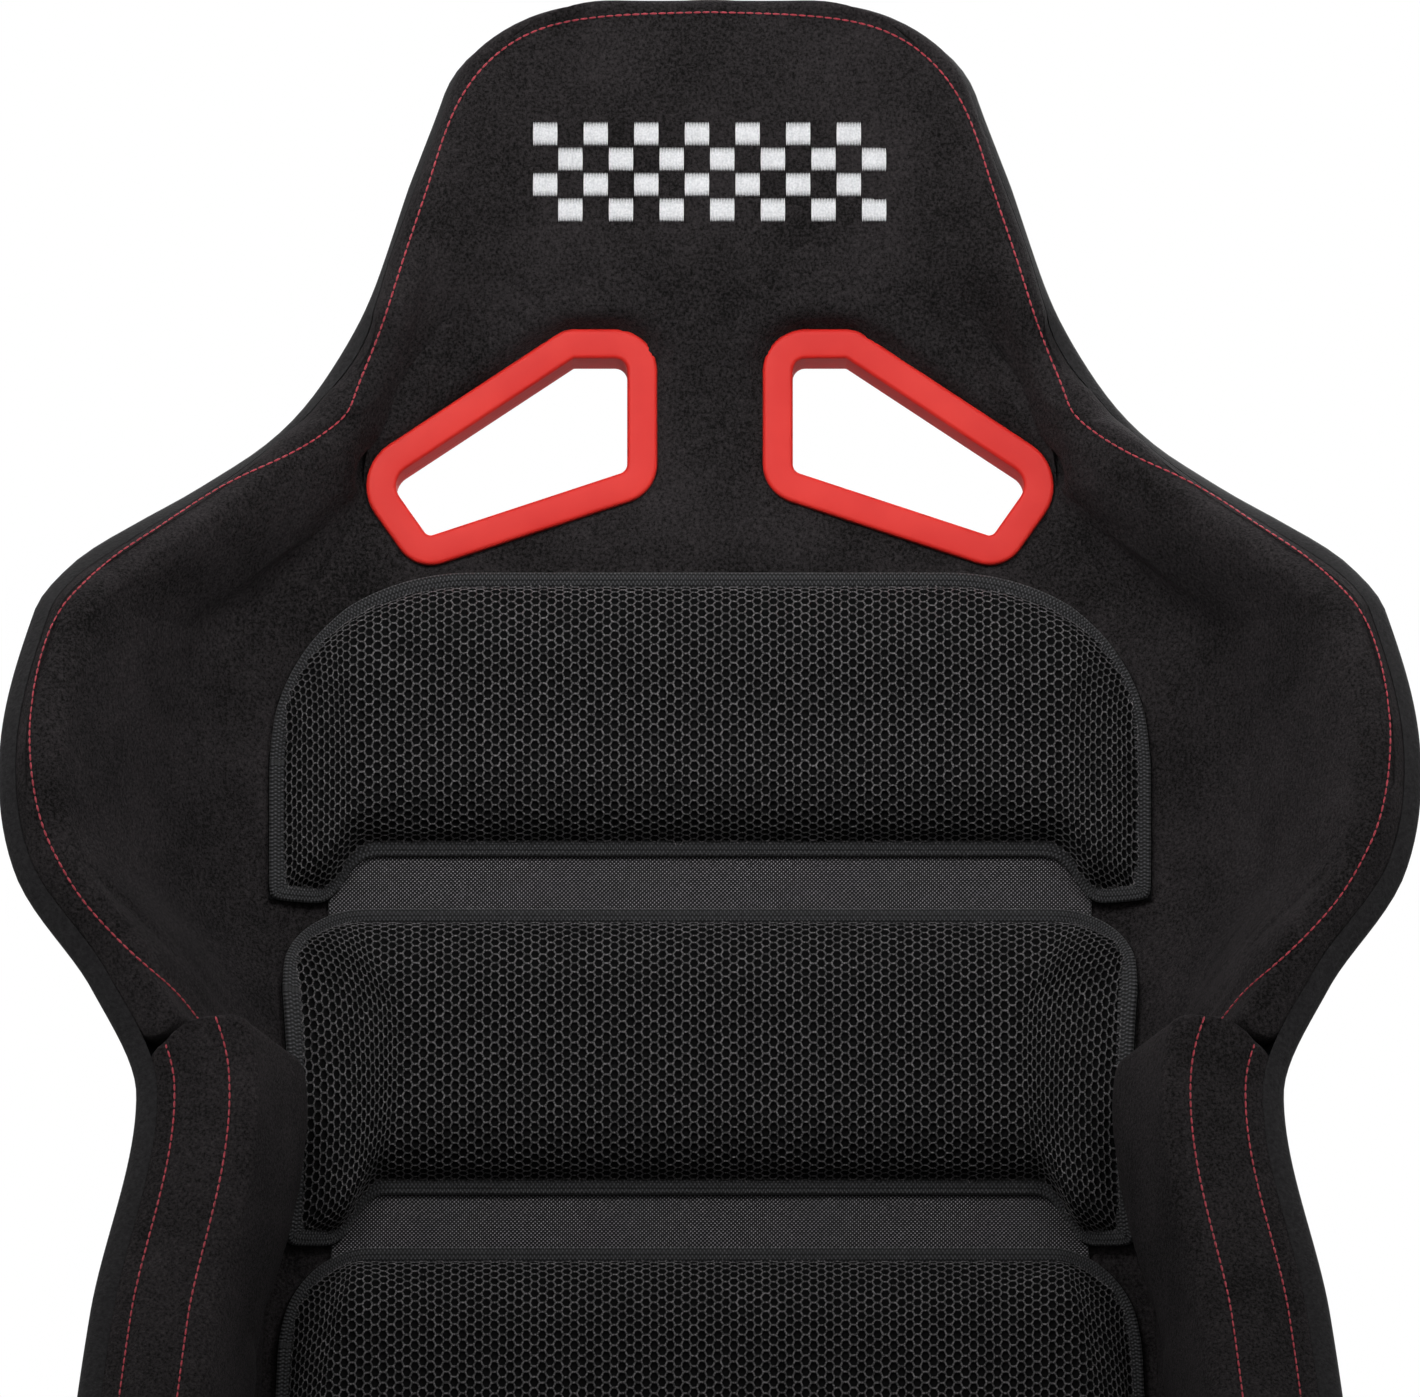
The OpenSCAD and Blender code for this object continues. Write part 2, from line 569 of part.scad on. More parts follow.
module rear_bezel_right() {
    color("#e23a33") at_opening() difference() {
        union() {
            translate([0, 0, rear_face - bezel_t + bevel])
                linear_extrude(bezel_t - bevel) polygon(bezel_outline(0));
            translate([0, 0, rear_face - bezel_t]) linear_extrude(bevel) polygon(bezel_outline(bevel));
            translate([0, 0, rear_face - eps])
                linear_extrude(bezel_mid - fit_gap - rear_face)
                    polygon(bezel_outline(bezel_w - sleeve_t));
        }
        opening_cut(bezel_w);
        at_screws(rear_face - bezel_t - 1) cylinder(r = screw_hole_r, h = bezel_t + 2, $fn = 8);
    }
}
module front_bezel_left() {
    mirror([1, 0, 0]) front_bezel_right();
}
module rear_bezel_left() {
    mirror([1, 0, 0]) rear_bezel_right();
}
module bezel_screws() {
    head_z = rear_face - bezel_t - screw_head_h;
    color("#222222") both_sides() at_opening() {
        at_screws(head_z) cylinder(r = screw_head_r, h = screw_head_h, $fn = 8);
        at_screws(head_z + eps)
            cylinder(r = screw_r, h = screw_head_h + bezel_seat - rear_face, $fn = 8);
    }
}

// ---- Mesh cushions, laid on the foam and held by strips of hook tape ----

strip_t = 1;
strip_w = 30;
strip_x = 70;
panel_x = 153;
module hook_strip(v0, v1, x) {
    vs = rows_between(v0, v1);
    function face(n) =
        [for (v = vs) [for (e = [-1, 1]) at(v, u_of(v, x + e * strip_w / 2), centre_foam(v) + n)]];
    slab(face(fit_gap + strip_t), face(fit_gap), 0);
}
module hook_strips() {
    color("#101011") for (x = [-strip_x, strip_x]) {
        hook_strip(panel_top + 12, panel_end - 12, x);
        hook_strip(seat_top + 12, seat_end - 12, x);
    }
}

panel_n = 2 * fit_gap + strip_t;
pad_n = panel_n + panel_t + soft_gap + 0.35;
pad_count = 4;
panel_top = pads_drop + 30;
panel_end = pads_drop + (pad_count - 1) * pad_pitch + pad_h + 12;
seat_top = top_len - hip_start + 22;
seat_end = seat_top + 2 * pad_pitch;
module cushion_panel(v0, v1) {
    vs = rows_between(v0, v1);
    function face(n) =
        [for (v = vs) let (end = u_of(v, panel_x), start = min(1, end - 0.2))
            [for (u = mirrored([start, (start + end) / 2, end])) at(v, u, centre_foam(v) + n)]];
    color("#333335") slab(face(panel_n + panel_t), face(panel_n));
}
module back_cushion_panel() {
    cushion_panel(panel_top, panel_end);
}
module seat_cushion_panel() {
    cushion_panel(seat_top, seat_end);
}

// A pad has rounded upper corners, a straight lower edge, and corners that hang below it
pad_us = [0, 0.4, 0.7, 0.85, 0.93, 0.97, 1];
pad_bs = [0, 0.04, 0.1, 0.25, 0.5, 0.75, 0.88, 0.95, 1];
tape_w = 6;
rise = 26;
function pad_top_v(x, half, corner) =
    let (w = corner * 1.1, d = max(0, x - (half - w)) / w) corner * (1 - sqrt(1 - min(1, d * d)));
function pad_low_v(x, half) = pad_h + pad_leg * ease(half - 46, half - 24, x);
function dome(d, run) = d <= tape_w ? 0 : sqrt(1 - pow(1 - min(1, (d - tape_w) / run), 2));
module mesh_pad(v0, half, corner) {
    us = mirrored(pad_us);
    function point(u, b, front) =
        let (x = half * abs(u), lo = pad_top_v(x, half, corner), hi = pad_low_v(x, half),
             v = v0 + mix(lo, hi, b),
             d = dome(half - x, rise) * dome(b * (hi - lo), rise) * dome((1 - b) * (hi - lo), rise / 2),
             n = centre_foam(v) + pad_n + (front ? mix(edge_t, pad_t, d) : 0))
        at(v, u_of(v, half * u), n);
    color("#2b2b2d")
        slab([for (b = pad_bs) [for (u = us) point(u, b, true)]],
             [for (b = pad_bs) [for (u = us) point(u, b, false)]]);
}
module back_mesh_pad_1() {
    mesh_pad(pads_drop, top_pad_x, 78);
}
module back_mesh_pad_2() {
    mesh_pad(pads_drop + pad_pitch, pad_x, 38);
}
module back_mesh_pad_3() {
    mesh_pad(pads_drop + 2 * pad_pitch, pad_x, 38);
}
module back_mesh_pad_4() {
    mesh_pad(pads_drop + 3 * pad_pitch, pad_x, 38);
}
module seat_mesh_pad_1() {
    mesh_pad(seat_top + 8, pad_x, 38);
}
module seat_mesh_pad_2() {
    mesh_pad(seat_top + 8 + pad_pitch, pad_x, 38);
}

// ---- Side mounts: threaded inserts in the shell, spacers, bolts and brackets ----

insert_r = 7;
insert_bore_r = 4.2;
insert_flange_r = 12;
insert_flange_t = 2;
spacer_r = 12;
side_bolt_r = 4;
side_head_r = 6.5;
side_head_h = 8;
washer_r = 9;
washer_t = 1.6;
front_bolt = [front_bolt_s, front_bolt_h];
rear_bolt = [rear_bolt_s, rear_bolt_h];
bracket_x = hip_w / 2 + side_gap;
// The column on the flank at a height above the pan
function flank_u(v, h) =
    let (c = section(v, 0)) 5 + 2 * (h - c[2] * (1 - cos(c[3]))) / sin(c[3]) / c[4];
function side_point(b, n) = let (v = top_len - b[0]) at(v, flank_u(v, b[1]), n);
// The flank leans a little, so pieces that bear on it keep clear of its nearer edge
lean = 2.7;
function inner_x(b) = side_point(b, 0)[0] - lean;
function outer_x(b) = side_point(b, -shell_t)[0] + lean;
// A side bolt's own frame: Z outward along X
module at_side_bolt(b, x) {
    o = side_point(b, 0);
    translate([x, o[1], o[2]]) rotate([90, 0, 90]) children();
}
module side_inserts() {
    color("#8d9094") both_sides() for (b = [front_bolt, rear_bolt]) difference() {
        union() {
            at_side_bolt(b, inner_x(b) - insert_flange_t)
                cylinder(r = insert_flange_r, h = insert_flange_t);
            at_side_bolt(b, inner_x(b) - insert_flange_t)
                cylinder(r = insert_r, h = outer_x(b) - inner_x(b) + insert_flange_t - fit_gap);
        }
        at_side_bolt(b, inner_x(b) - 20) cylinder(r = insert_bore_r, h = 60);
    }
}
module side_spacers() {
    color("#3a3c40") both_sides() for (b = [front_bolt, rear_bolt])
        at_side_bolt(b, outer_x(b)) difference() {
            cylinder(r = spacer_r, h = bracket_x - outer_x(b));
            translate([0, 0, -1]) cylinder(r = bolt_hole_r, h = 60);
        }
}
module side_bolts() {
    color("#8d9094") both_sides() for (b = [front_bolt, rear_bolt])
        at_side_bolt(b, bracket_x + bracket_t) difference() {
            union() {
                cylinder(r = washer_r, h = washer_t);
                translate([0, 0, washer_t - eps]) cylinder(r = side_head_r, h = side_head_h);
                translate([0, 0, inner_x(b) - bracket_x - bracket_t])
                    cylinder(r = side_bolt_r, h = bracket_x + bracket_t - inner_x(b) + 1);
            }
            translate([0, 0, washer_t + side_head_h / 2]) cylinder(r = 3.4, h = 10, $fn = 6);
        }
}

// ---- Brackets ----

rail_x = bracket_x + bracket_t - foot_w / 2;
half_len = bracket_len / 2;
ear_r = 17;
foot_front = pivot_y + 18;
ear_t = 4;
ear_x = rail_x - foot_w / 2;
bracket_bolt_ys = [-40, 130];
module bracket_plate() {
    a = side_point(front_bolt, 0);
    b = side_point(rear_bolt, 0);
    translate([bracket_x, 0, 0]) rotate([90, 0, 90]) linear_extrude(bracket_t) difference() {
        union() {
            polygon([[-half_len, upper_top], [half_len, upper_top], [half_len, upper_top + 26],
                     [b[1] + ear_r, b[2]], [b[1] - ear_r, b[2]], [b[1] - 45, upper_top + 48],
                     [a[1] + 50, upper_top + 52], [a[1] + ear_r, a[2]], [a[1] - ear_r, a[2]],
                     [-half_len, upper_top + 26]]);
            translate([a[1], a[2]]) circle(ear_r);
            translate([b[1], b[2]]) circle(ear_r);
        }
        translate([a[1], a[2]]) circle(bolt_hole_r);
        translate([b[1], b[2]]) circle(bolt_hole_r);
        for (k = [1, 2]) {
            translate([a[1] + k * 4, a[2] - k * 27]) circle(bolt_hole_r);
            translate([b[1] - k * 2, b[2] - k * 24]) circle(bolt_hole_r);
        }
        for (y = [-62, -18, 26, 70]) translate([y, upper_top + 27]) circle(9);
    }
}
module bracket_foot() {
    translate([ear_x, -foot_front, upper_top])
        cube([foot_w, foot_front + half_len, bracket_t]);
    // The foot's inner edge turns up as the ear that carries the release bar's pivot
    translate([ear_x, 0, 0]) rotate([90, 0, 90]) linear_extrude(ear_t) union() {
        translate([-pivot_y, pivot_z]) circle(11);
        translate([-pivot_y - 11, upper_top]) square([22, pivot_z - upper_top]);
    }
}
module side_bracket_right() {
    color("#3a3c40") difference() {
        union() {
            bracket_plate();
            bracket_foot();
        }
        for (y = bracket_bolt_ys) translate([rail_x, y, upper_top - 1])
            cylinder(r = bolt_hole_r, h = bracket_t + 2);
        translate([ear_x - 1, -pivot_y, pivot_z]) rotate([0, 90, 0])
            cylinder(r = pin_r + fit_gap / 2, h = ear_t + 2);
    }
}
module side_bracket_left() {
    mirror([1, 0, 0]) side_bracket_right();
}
bracket_head_h = 5;
nut_r = 7.2;
nut_h = 6.5;
nut_z = upper_top - rail_t - nut_h;
module bracket_bolts() {
    color("#8d9094") both_sides() for (y = bracket_bolt_ys) translate([rail_x, y, 0]) difference() {
        union() {
            translate([0, 0, upper_top + bracket_t]) cylinder(r = side_head_r, h = bracket_head_h);
            translate([0, 0, nut_z - 1])
                cylinder(r = side_bolt_r, h = upper_top + bracket_t + 2 - nut_z);
        }
        translate([0, 0, upper_top + bracket_t + 2]) cylinder(r = 2.9, h = 10, $fn = 6);
    }
}
module bracket_nuts() {
    color("#8d9094") both_sides() for (y = bracket_bolt_ys) translate([rail_x, y, nut_z]) difference() {
        cylinder(r = nut_r, h = nut_h, $fn = 6);
        translate([0, 0, -1]) cylinder(r = side_bolt_r + 0.15, h = nut_h + 2);
    }
}

// ---- Slider rails ----

lip_w = (rail_w - hat_w) / 2 - rail_t - 0.5;
flange_z = 8;
flange_x = rail_w / 2 - rail_t - 4;
slot_w = lock_pitch / 2;
lock_zone = 2 * travel + 60;
stop_len = 10;
stop_h = flange_z - rail_t - 1;
shoe_in = travel + stop_len / 2 + 1;
shoe_len = upper_len / 2 - shoe_in;
module along_rail(length) {
    translate([rail_x, length / 2, 0]) rotate([90, 0, 0]) linear_extrude(length) children();
}
module lower_rail_right() {
    lock_y = -lock_tooth_y;
    slots = floor(lock_zone / lock_pitch / 2);
    color("#3a3c40") difference() {
        union() {
            along_rail(rail_len) difference() {
                translate([-rail_w / 2, 0]) square([rail_w, rail_h]);
                translate([-rail_w / 2 + rail_t, rail_t])
                    square([rail_w - 2 * rail_t, rail_h - 2 * rail_t]);
                translate([-hat_w / 2 - 0.5, rail_h - rail_t - 1]) square([hat_w + 1, rail_t + 2]);
            }
            translate([rail_x - rail_w / 2 + 1, -stop_len / 2, rail_t - eps])
                cube([rail_w - 2, stop_len, stop_h]);
        }
        for (y = [-1, 1]) translate([rail_x, y * floor_bolt_y / 2, -1])
            cylinder(r = bolt_hole_r, h = rail_t + 2);
        for (k = [-slots:slots]) {
            y = lock_y + k * lock_pitch;
            if (abs(y) < rail_len / 2 - lock_pitch)
                translate([rail_x - hat_w / 2 - 0.5 - lip_w, y - slot_w / 2, rail_h - rail_t - 1])
                    cube([lip_w + 1, slot_w, rail_t + 2]);
        }
    }
}
module lower_rail_left() {
    mirror([1, 0, 0]) lower_rail_right();
}
module upper_rail_right() {
    color("#55585c") difference() {
        along_rail(upper_len) difference() {
            union() {
                translate([-hat_w / 2, flange_z]) square([hat_w, upper_top - flange_z]);
                translate([-flange_x, flange_z]) square([2 * flange_x, rail_t]);
            }
            translate([-hat_w / 2 + rail_t, flange_z - 1])
                square([hat_w - 2 * rail_t, upper_top - flange_z - rail_t + 1]);
        }
        for (y = bracket_bolt_ys) translate([rail_x, y, flange_z]) cylinder(r = bolt_hole_r, h = 40);
    }
}
module upper_rail_left() {
    mirror([1, 0, 0]) upper_rail_right();
}
// A shoe wraps the edge of the upper rail's flange and runs in the lower rail
module glide_shoes_right() {
    out = rail_w / 2 - rail_t - fit_gap;
    in = hat_w / 2 + 1.5;
    color("#e8e4da") translate([rail_x, 0, 0]) for (x = [0, 1], y = [0, 1])
        mirror([x, 0, 0]) mirror([0, y, 0]) translate([0, shoe_in + shoe_len, 0]) rotate([90, 0, 0])
            linear_extrude(shoe_len) difference() {
                translate([in, rail_t + fit_gap]) square([out - in, rail_h - 2 * rail_t - 2 * fit_gap]);
                translate([in - 1, flange_z - fit_gap])
                    square([flange_x + 2 * fit_gap + 1 - in, rail_t + 2 * fit_gap]);
            }
}
module glide_shoes_left() {
    mirror([1, 0, 0]) glide_shoes_right();
}

// ---- Lock: spring-loaded arms with teeth, lifted by the release bar ----

pin_r = 4;
arm_t = 4;
arm_x = ear_x - fit_gap - arm_t;
arm_h = 14;
tooth_t = slot_w - 1;
lock_tooth_y = pivot_y + 3 * lock_pitch + 12;
tooth_low = rail_h + fit_gap;
tab_z = upper_top - 5;
module at_pivot(x) {
    translate([x, -pivot_y, pivot_z]) rotate([0, 90, 0]) children();
}
spring_wire = 0.9;
spring_r = pin_r + 2.4;
spring_turns = 3;
spring_pitch = 2 * spring_wire + 0.7;
spring_len = spring_turns * spring_pitch + 2 * spring_wire;
pin_head_r = 8;
pin_head_t = 3;
pin_start = arm_x - 2 * fit_gap - spring_len;
module pivot_pins() {
    color("#8d9094") both_sides() {
        at_pivot(pin_start - pin_head_t) cylinder(r = pin_head_r, h = pin_head_t);
        at_pivot(pin_start - eps) cylinder(r = pin_r, h = ear_x + ear_t + fit_gap - pin_start + 2 * eps);
        at_pivot(ear_x + ear_t + fit_gap) cylinder(r = pin_head_r - 1, h = pin_head_t - 1);
    }
}
arm_end = pivot_y + 3 * lock_pitch + 38;
module lock_arm() {
    difference() {
        translate([arm_x, 0, 0]) rotate([90, 0, 90]) linear_extrude(arm_t) union() {
            translate([-pivot_y, pivot_z]) circle(9);
            translate([-arm_end, pivot_z - arm_h / 2]) square([arm_end - pivot_y, arm_h]);
            translate([-lock_tooth_y - lock_pitch - tooth_t, tab_z])
                square([2 * lock_pitch + 2 * tooth_t, pivot_z - tab_z]);
        }
        at_pivot(arm_x - 1) cylinder(r = pin_r + fit_gap, h = arm_t + 2);
    }
    tab_w = rail_x - hat_w / 2 - 2 - arm_x;
    translate([arm_x, -lock_tooth_y - lock_pitch - tooth_t, tab_z])
        cube([tab_w, 2 * lock_pitch + 2 * tooth_t, 3]);
    tooth_x = rail_x - rail_w / 2 + rail_t + 0.5;
    for (k = [-1:1]) translate([tooth_x, -lock_tooth_y + k * lock_pitch - tooth_t / 2, tooth_low])
        cube([arm_x + tab_w - tooth_x, tooth_t, tab_z + 1 - tooth_low]);
}
module lock_arms() {
    color("#55585c") both_sides() lock_arm();
}
// The tube lies against the inner faces of the arms
bar_x = arm_x - bar_r;
bend_r = 34;
module release_bar() {
    color("#55585c") {
        both_sides() {
            translate([bar_x, -bar_y + bend_r, pivot_z]) rotate([-90, 0, 0])
                cylinder(r = bar_r, h = bar_y - bend_r - arm_end + 34);
            translate([bar_x - bend_r, -bar_y + bend_r, pivot_z]) rotate([0, 0, -90])
                rotate_extrude(angle = 90) translate([bend_r, 0]) circle(bar_r, $fn = 16);
        }
        translate([-bar_x + bend_r, -bar_y, pivot_z]) rotate([0, 90, 0])
            cylinder(r = bar_r, h = 2 * (bar_x - bend_r));
    }
}
module bar_grip() {
    color("#141415") translate([-grip_len / 2, -bar_y, pivot_z]) rotate([0, 90, 0]) difference() {
        cylinder(r = grip_r, h = grip_len);
        translate([0, 0, -1]) cylinder(r = bar_r + fit_gap / 2, h = grip_len + 2);
    }
}

// A torsion spring on each pivot presses the teeth down. Its wire is one unbroken coil.
spring_x = arm_x - fit_gap - spring_len + spring_wire;
// Rings of points round the wire, ring_count to a turn
ring_count = 12;
spring_rings = [for (i = [0:spring_turns * ring_count]) [for (k = [0:5])
    let (a = i * 360 / ring_count, r = spring_r + spring_wire * cos(k * 60))
    [spring_x + spring_pitch * i / ring_count + spring_wire * sin(k * 60), r * cos(a), r * sin(a)]]];
spring_gap = min([for (p = spring_rings[0], q = spring_rings[ring_count]) norm(p - q)]);
module tube(rings) {
    n = len(rings);
    m = len(rings[0]);
    sides = [for (i = [0:n - 2], k = [0:m - 1])
        each quad(i * m + k, i * m + (k + 1) % m, (i + 1) * m + (k + 1) % m, (i + 1) * m + k)];
    ends = [for (k = [1:m - 2])
        each [[0, k + 1, k], [(n - 1) * m, (n - 1) * m + k, (n - 1) * m + k + 1]]];
    polyhedron(flat(rings), concat(sides, ends));
}
module lock_springs() {
    echo(spring_gap_to_itself = spring_gap);
    color("#8d9094") both_sides() translate([0, -pivot_y, pivot_z]) tube(spring_rings);
}

shell();
rear_cover();
shoulder_pad();
back_pad();
seat_pad();
bolster_left();
bolster_right();
front_bezel_left();
front_bezel_right();
rear_bezel_left();
rear_bezel_right();
bezel_screws();
hook_strips();
back_cushion_panel();
back_mesh_pad_1();
back_mesh_pad_2();
back_mesh_pad_3();
back_mesh_pad_4();
seat_cushion_panel();
seat_mesh_pad_1();
seat_mesh_pad_2();
side_inserts();
side_spacers();
side_bolts();
side_bracket_left();
side_bracket_right();
bracket_bolts();
bracket_nuts();
upper_rail_left();
upper_rail_right();
glide_shoes_left();
glide_shoes_right();
lower_rail_left();
lower_rail_right();
pivot_pins();
lock_springs();
lock_arms();
release_bar();
bar_grip();
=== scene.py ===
import math

import bmesh
import bpy
import numpy as np
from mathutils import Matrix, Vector
from mathutils.bvhtree import BVHTree


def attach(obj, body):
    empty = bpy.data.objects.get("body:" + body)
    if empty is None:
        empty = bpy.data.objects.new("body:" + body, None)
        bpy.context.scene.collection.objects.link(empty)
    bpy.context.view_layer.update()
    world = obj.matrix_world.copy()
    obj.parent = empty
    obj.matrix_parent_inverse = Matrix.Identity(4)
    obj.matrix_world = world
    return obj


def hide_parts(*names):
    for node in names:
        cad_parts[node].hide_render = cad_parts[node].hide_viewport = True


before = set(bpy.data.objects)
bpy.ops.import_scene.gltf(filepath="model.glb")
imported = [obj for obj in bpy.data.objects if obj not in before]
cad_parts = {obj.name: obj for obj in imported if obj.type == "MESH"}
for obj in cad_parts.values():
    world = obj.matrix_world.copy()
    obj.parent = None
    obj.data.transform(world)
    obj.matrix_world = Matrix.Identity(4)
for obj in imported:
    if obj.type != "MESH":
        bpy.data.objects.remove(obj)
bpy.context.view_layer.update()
scene = bpy.context.scene
MM = 0.001

# ---- Shell ----
# The bucket itself: moulded composite, 4 mm thick, a straight pan and a reclined back joined by a
# tight bend. Everything soft is laid on it, so its form is worked out here: a profile in the middle
# plane, with a section across it that has a flat middle, round corners and straight flanks.
LIP, PAN, HIP_R, BACK, NECK, HEAD = 55, 300, 110, 400, 100, 250
PAN_A, BACK_A, HEAD_A, LIP_A = -8, 75, 81, 55
HIP = HIP_R * math.radians(BACK_A - PAN_A)
BENDS = np.cumsum([0, LIP, PAN, HIP, BACK, NECK, HEAD])
TOP = BENDS[-1]
HIP_START, HIP_END = BENDS[2], BENDS[3]
HEAD_W, NECK_W, SHOULDER_W, WAIST_W, HIP_W, THIGH_W = 190, 298, 560, 452, 516, 502
WING, WAIST, HIPS, THIGHS = 100, 98, 165, 118
NOSE, SHELL_T, COVER_GAP, COVER_T = 7, 4, 1.2, 2.5
SKIN = SHELL_T + COVER_GAP + COVER_T
CORNER_H, CORNER_W = 38, 54
OPENING_V, OPENING_X = 181.5, 79

arc = np.arange(-60, TOP + 60, 0.25)
slope = np.radians(np.interp(arc, BENDS, [LIP_A, PAN_A, PAN_A, BACK_A, BACK_A, HEAD_A, HEAD_A]))
profile_y = np.cumsum(np.cos(slope)) * 0.25
profile_z = np.cumsum(np.sin(slope)) * 0.25
profile_y += 95 - np.interp(HIP_START, arc, profile_y)
profile_z += 78 - profile_z[(arc > 200) & (arc < 500)].min()


def mix(a, b, t):
    return a + (b - a) * t


def ease(a, b, x):
    t = np.clip((x - a) / (b - a), 0, 1)
    return t * t * (3 - 2 * t)


# Distance from the top, half width, reach of the side, angle of the side, corner radius
SECTIONS = np.array([
    [0, HEAD_W / 2, 10, 20, 150],
    [38, HEAD_W / 2 + 9, 14, 22, 150],
    [103, mix(HEAD_W, NECK_W, 0.61) / 2, 20, 28, 105],
    [138, mix(HEAD_W, NECK_W, 0.83) / 2, 21, 28, 90],
    [170, mix(NECK_W, SHOULDER_W, 0.1) / 2, 21, 29, 60],
    [187, mix(NECK_W, SHOULDER_W, 0.24) / 2, mix(21, WING, 0.12), 34, 56],
    [205, mix(NECK_W, SHOULDER_W, 0.42) / 2, mix(21, WING, 0.28), 40, 62],
    [223, mix(NECK_W, SHOULDER_W, 0.62) / 2, mix(21, WING, 0.48), 45, 76],
    [241, mix(NECK_W, SHOULDER_W, 0.8) / 2, mix(21, WING, 0.66), 49, 90],
    [259, mix(NECK_W, SHOULDER_W, 0.9) / 2, mix(21, WING, 0.8), 52, 100],
    [325, SHOULDER_W / 2, WING, 54, 115],
    [376, SHOULDER_W / 2 - 6, WING, 56, 112],
    [420, mix(SHOULDER_W, WAIST_W, 0.65) / 2, WAIST, 60, 98],
    [467, WAIST_W / 2, WAIST, 68, 78],
    [562, mix(WAIST_W, HIP_W, 0.55) / 2, mix(WAIST, HIPS, 0.25), 75, 70],
    [670, mix(WAIST_W, HIP_W, 0.9) / 2, mix(WAIST, HIPS, 0.7), 81, 72],
    [780, HIP_W / 2, HIPS, 84, 78],
    [860, HIP_W / 2, mix(HIPS, THIGHS, 0.3), 85, 80],
    [950, HIP_W / 2, THIGHS, 85, 80],
    [1050, mix(HIP_W, THIGH_W, 0.4) / 2, THIGHS - 8, 84, 76],
    [1160, THIGH_W / 2, THIGHS - 26, 81, 70],
    [1260, THIGH_W / 2 - 14, 52, 74, 62],
])
span = np.gradient(SECTIONS, axis=0)
span[1:-1] *= 2
SLOPES = span / span[:, :1]


def smooth(v, column):
    i = np.clip(np.searchsorted(SECTIONS[:, 0], v, side="right") - 1, 0, len(SECTIONS) - 2)
    w = SECTIONS[i + 1, 0] - SECTIONS[i, 0]
    t = np.clip((v - SECTIONS[i, 0]) / w, 0, 1)
    return ((2 * t**3 - 3 * t**2 + 1) * SECTIONS[i, column] + (t**3 - 2 * t**2 + t) * w * SLOPES[i, column]
            + (3 * t**2 - 2 * t**3) * SECTIONS[i + 1, column] + (t**3 - t**2) * w * SLOPES[i + 1, column])


def corner_cut(v):
    rest = np.clip(1 - np.maximum(0, v) / CORNER_H, 0, 1)
    return CORNER_W * (1 - np.sqrt(1 - rest**2))


def section(v, cut):
    full, a = smooth(v, 1), np.radians(smooth(v, 3))
    w = full - cut - COVER_GAP * np.cos(a) - SKIN * np.sin(a)
    r = np.minimum(smooth(v, 4), 0.75 * w / np.sin(a))
    flank = np.maximum(1, (smooth(v, 2) * (1 - cut / full) - r * (1 - np.cos(a))) / np.sin(a))
    return w - r * np.sin(a) - flank * np.cos(a), r, a, flank


def bucket(v, q, cut=0):
    """Points of the shell's front. q is 0 to 1 on the flat, to 2 round the corner, to 3 up the flank."""
    middle, r, a, flank = section(v, cut)
    side = np.abs(q)
    turn = a * np.clip(side - 1, 0, 1)
    up = np.where(side <= 3, np.clip(side - 2, 0, 1) * flank, flank + (side - 3) * 10)
    x = middle * np.minimum(side, 1) + r * np.sin(turn) + up * np.cos(a)
    h = r * (1 - np.cos(turn)) + up * np.sin(a)
    h = h * ease(60, 78, np.hypot(x - OPENING_X, v - OPENING_V))
    s = TOP - v - 3 * np.maximum(0, 1 - v / 60) * np.minimum(1, side / 3) ** 2
    tilt = np.radians(mix(PAN_A, BACK_A, ease(HIP_START - 150, HIP_END + 150, s))
                      + (HEAD_A - BACK_A) * ease(BENDS[4], BENDS[5], s))
    return np.stack([np.sign(q) * x, np.interp(s, arc, profile_y) - h * np.sin(tilt),
                     np.interp(s, arc, profile_z) + h * np.cos(tilt)], -1)


def unit(vectors):
    return vectors / np.linalg.norm(vectors, axis=-1, keepdims=True)


def laid(v, q, n):
    """Points n mm in front of the shell's front face."""
    v, q, n = np.broadcast_arrays(np.asarray(v, float), np.asarray(q, float), np.asarray(n, float))
    across = bucket(v, q + 0.02) - bucket(v, q - 0.02)
    up = bucket(v - 0.5, q) - bucket(v + 0.5, q)
    return bucket(v, q, corner_cut(v)) + n[..., None] * unit(np.cross(across, up))


def q_of(v, x):
    """The place across the section at a distance x from the middle."""
    middle, r, a, flank = section(v, corner_cut(v))
    far = np.abs(x) - middle
    on_arc = 1 + np.arcsin(np.clip(far / r, 0, np.sin(a))) / a
    on_flank = 2 + (far - r * np.sin(a)) / (np.cos(a) * flank)
    q = np.where(far <= 0, np.abs(x) / middle, np.where(far <= r * np.sin(a), on_arc, on_flank))
    return np.sign(x) * q


BOLSTER_IN = 183


def bolster_edge(v, inset=0):
    """The place across the section of a bolster's inner edge, which stays on the corner."""
    return np.clip(q_of(v, BOLSTER_IN - inset + 0 * v), 1.15, 1.85)


def column(v, q):
    """The solids' own columns: 1 at the corner, 3 at the bolster's edge, 5 at its end, 7 at the rim."""
    e = bolster_edge(v)
    side = np.abs(q)
    u = np.where(side < 1, side, 0)
    for lo, hi, at in ((1, e, 1), (e, 2, 3), (2, 3, 5)):
        u = np.where((side >= lo) & (side < hi), at + 2 * (side - lo) / (hi - lo), u)
    return np.where(side >= 3, side + 4, u)


def grid_faces(rows, cols, start=0, flip=False):
    k = (np.arange(rows - 1)[:, None] * cols + np.arange(cols - 1)[None]).ravel() + start
    quads = np.stack([k, k + 1, k + cols + 1, k + cols], -1)
    return (quads[:, ::-1] if flip else quads).tolist()


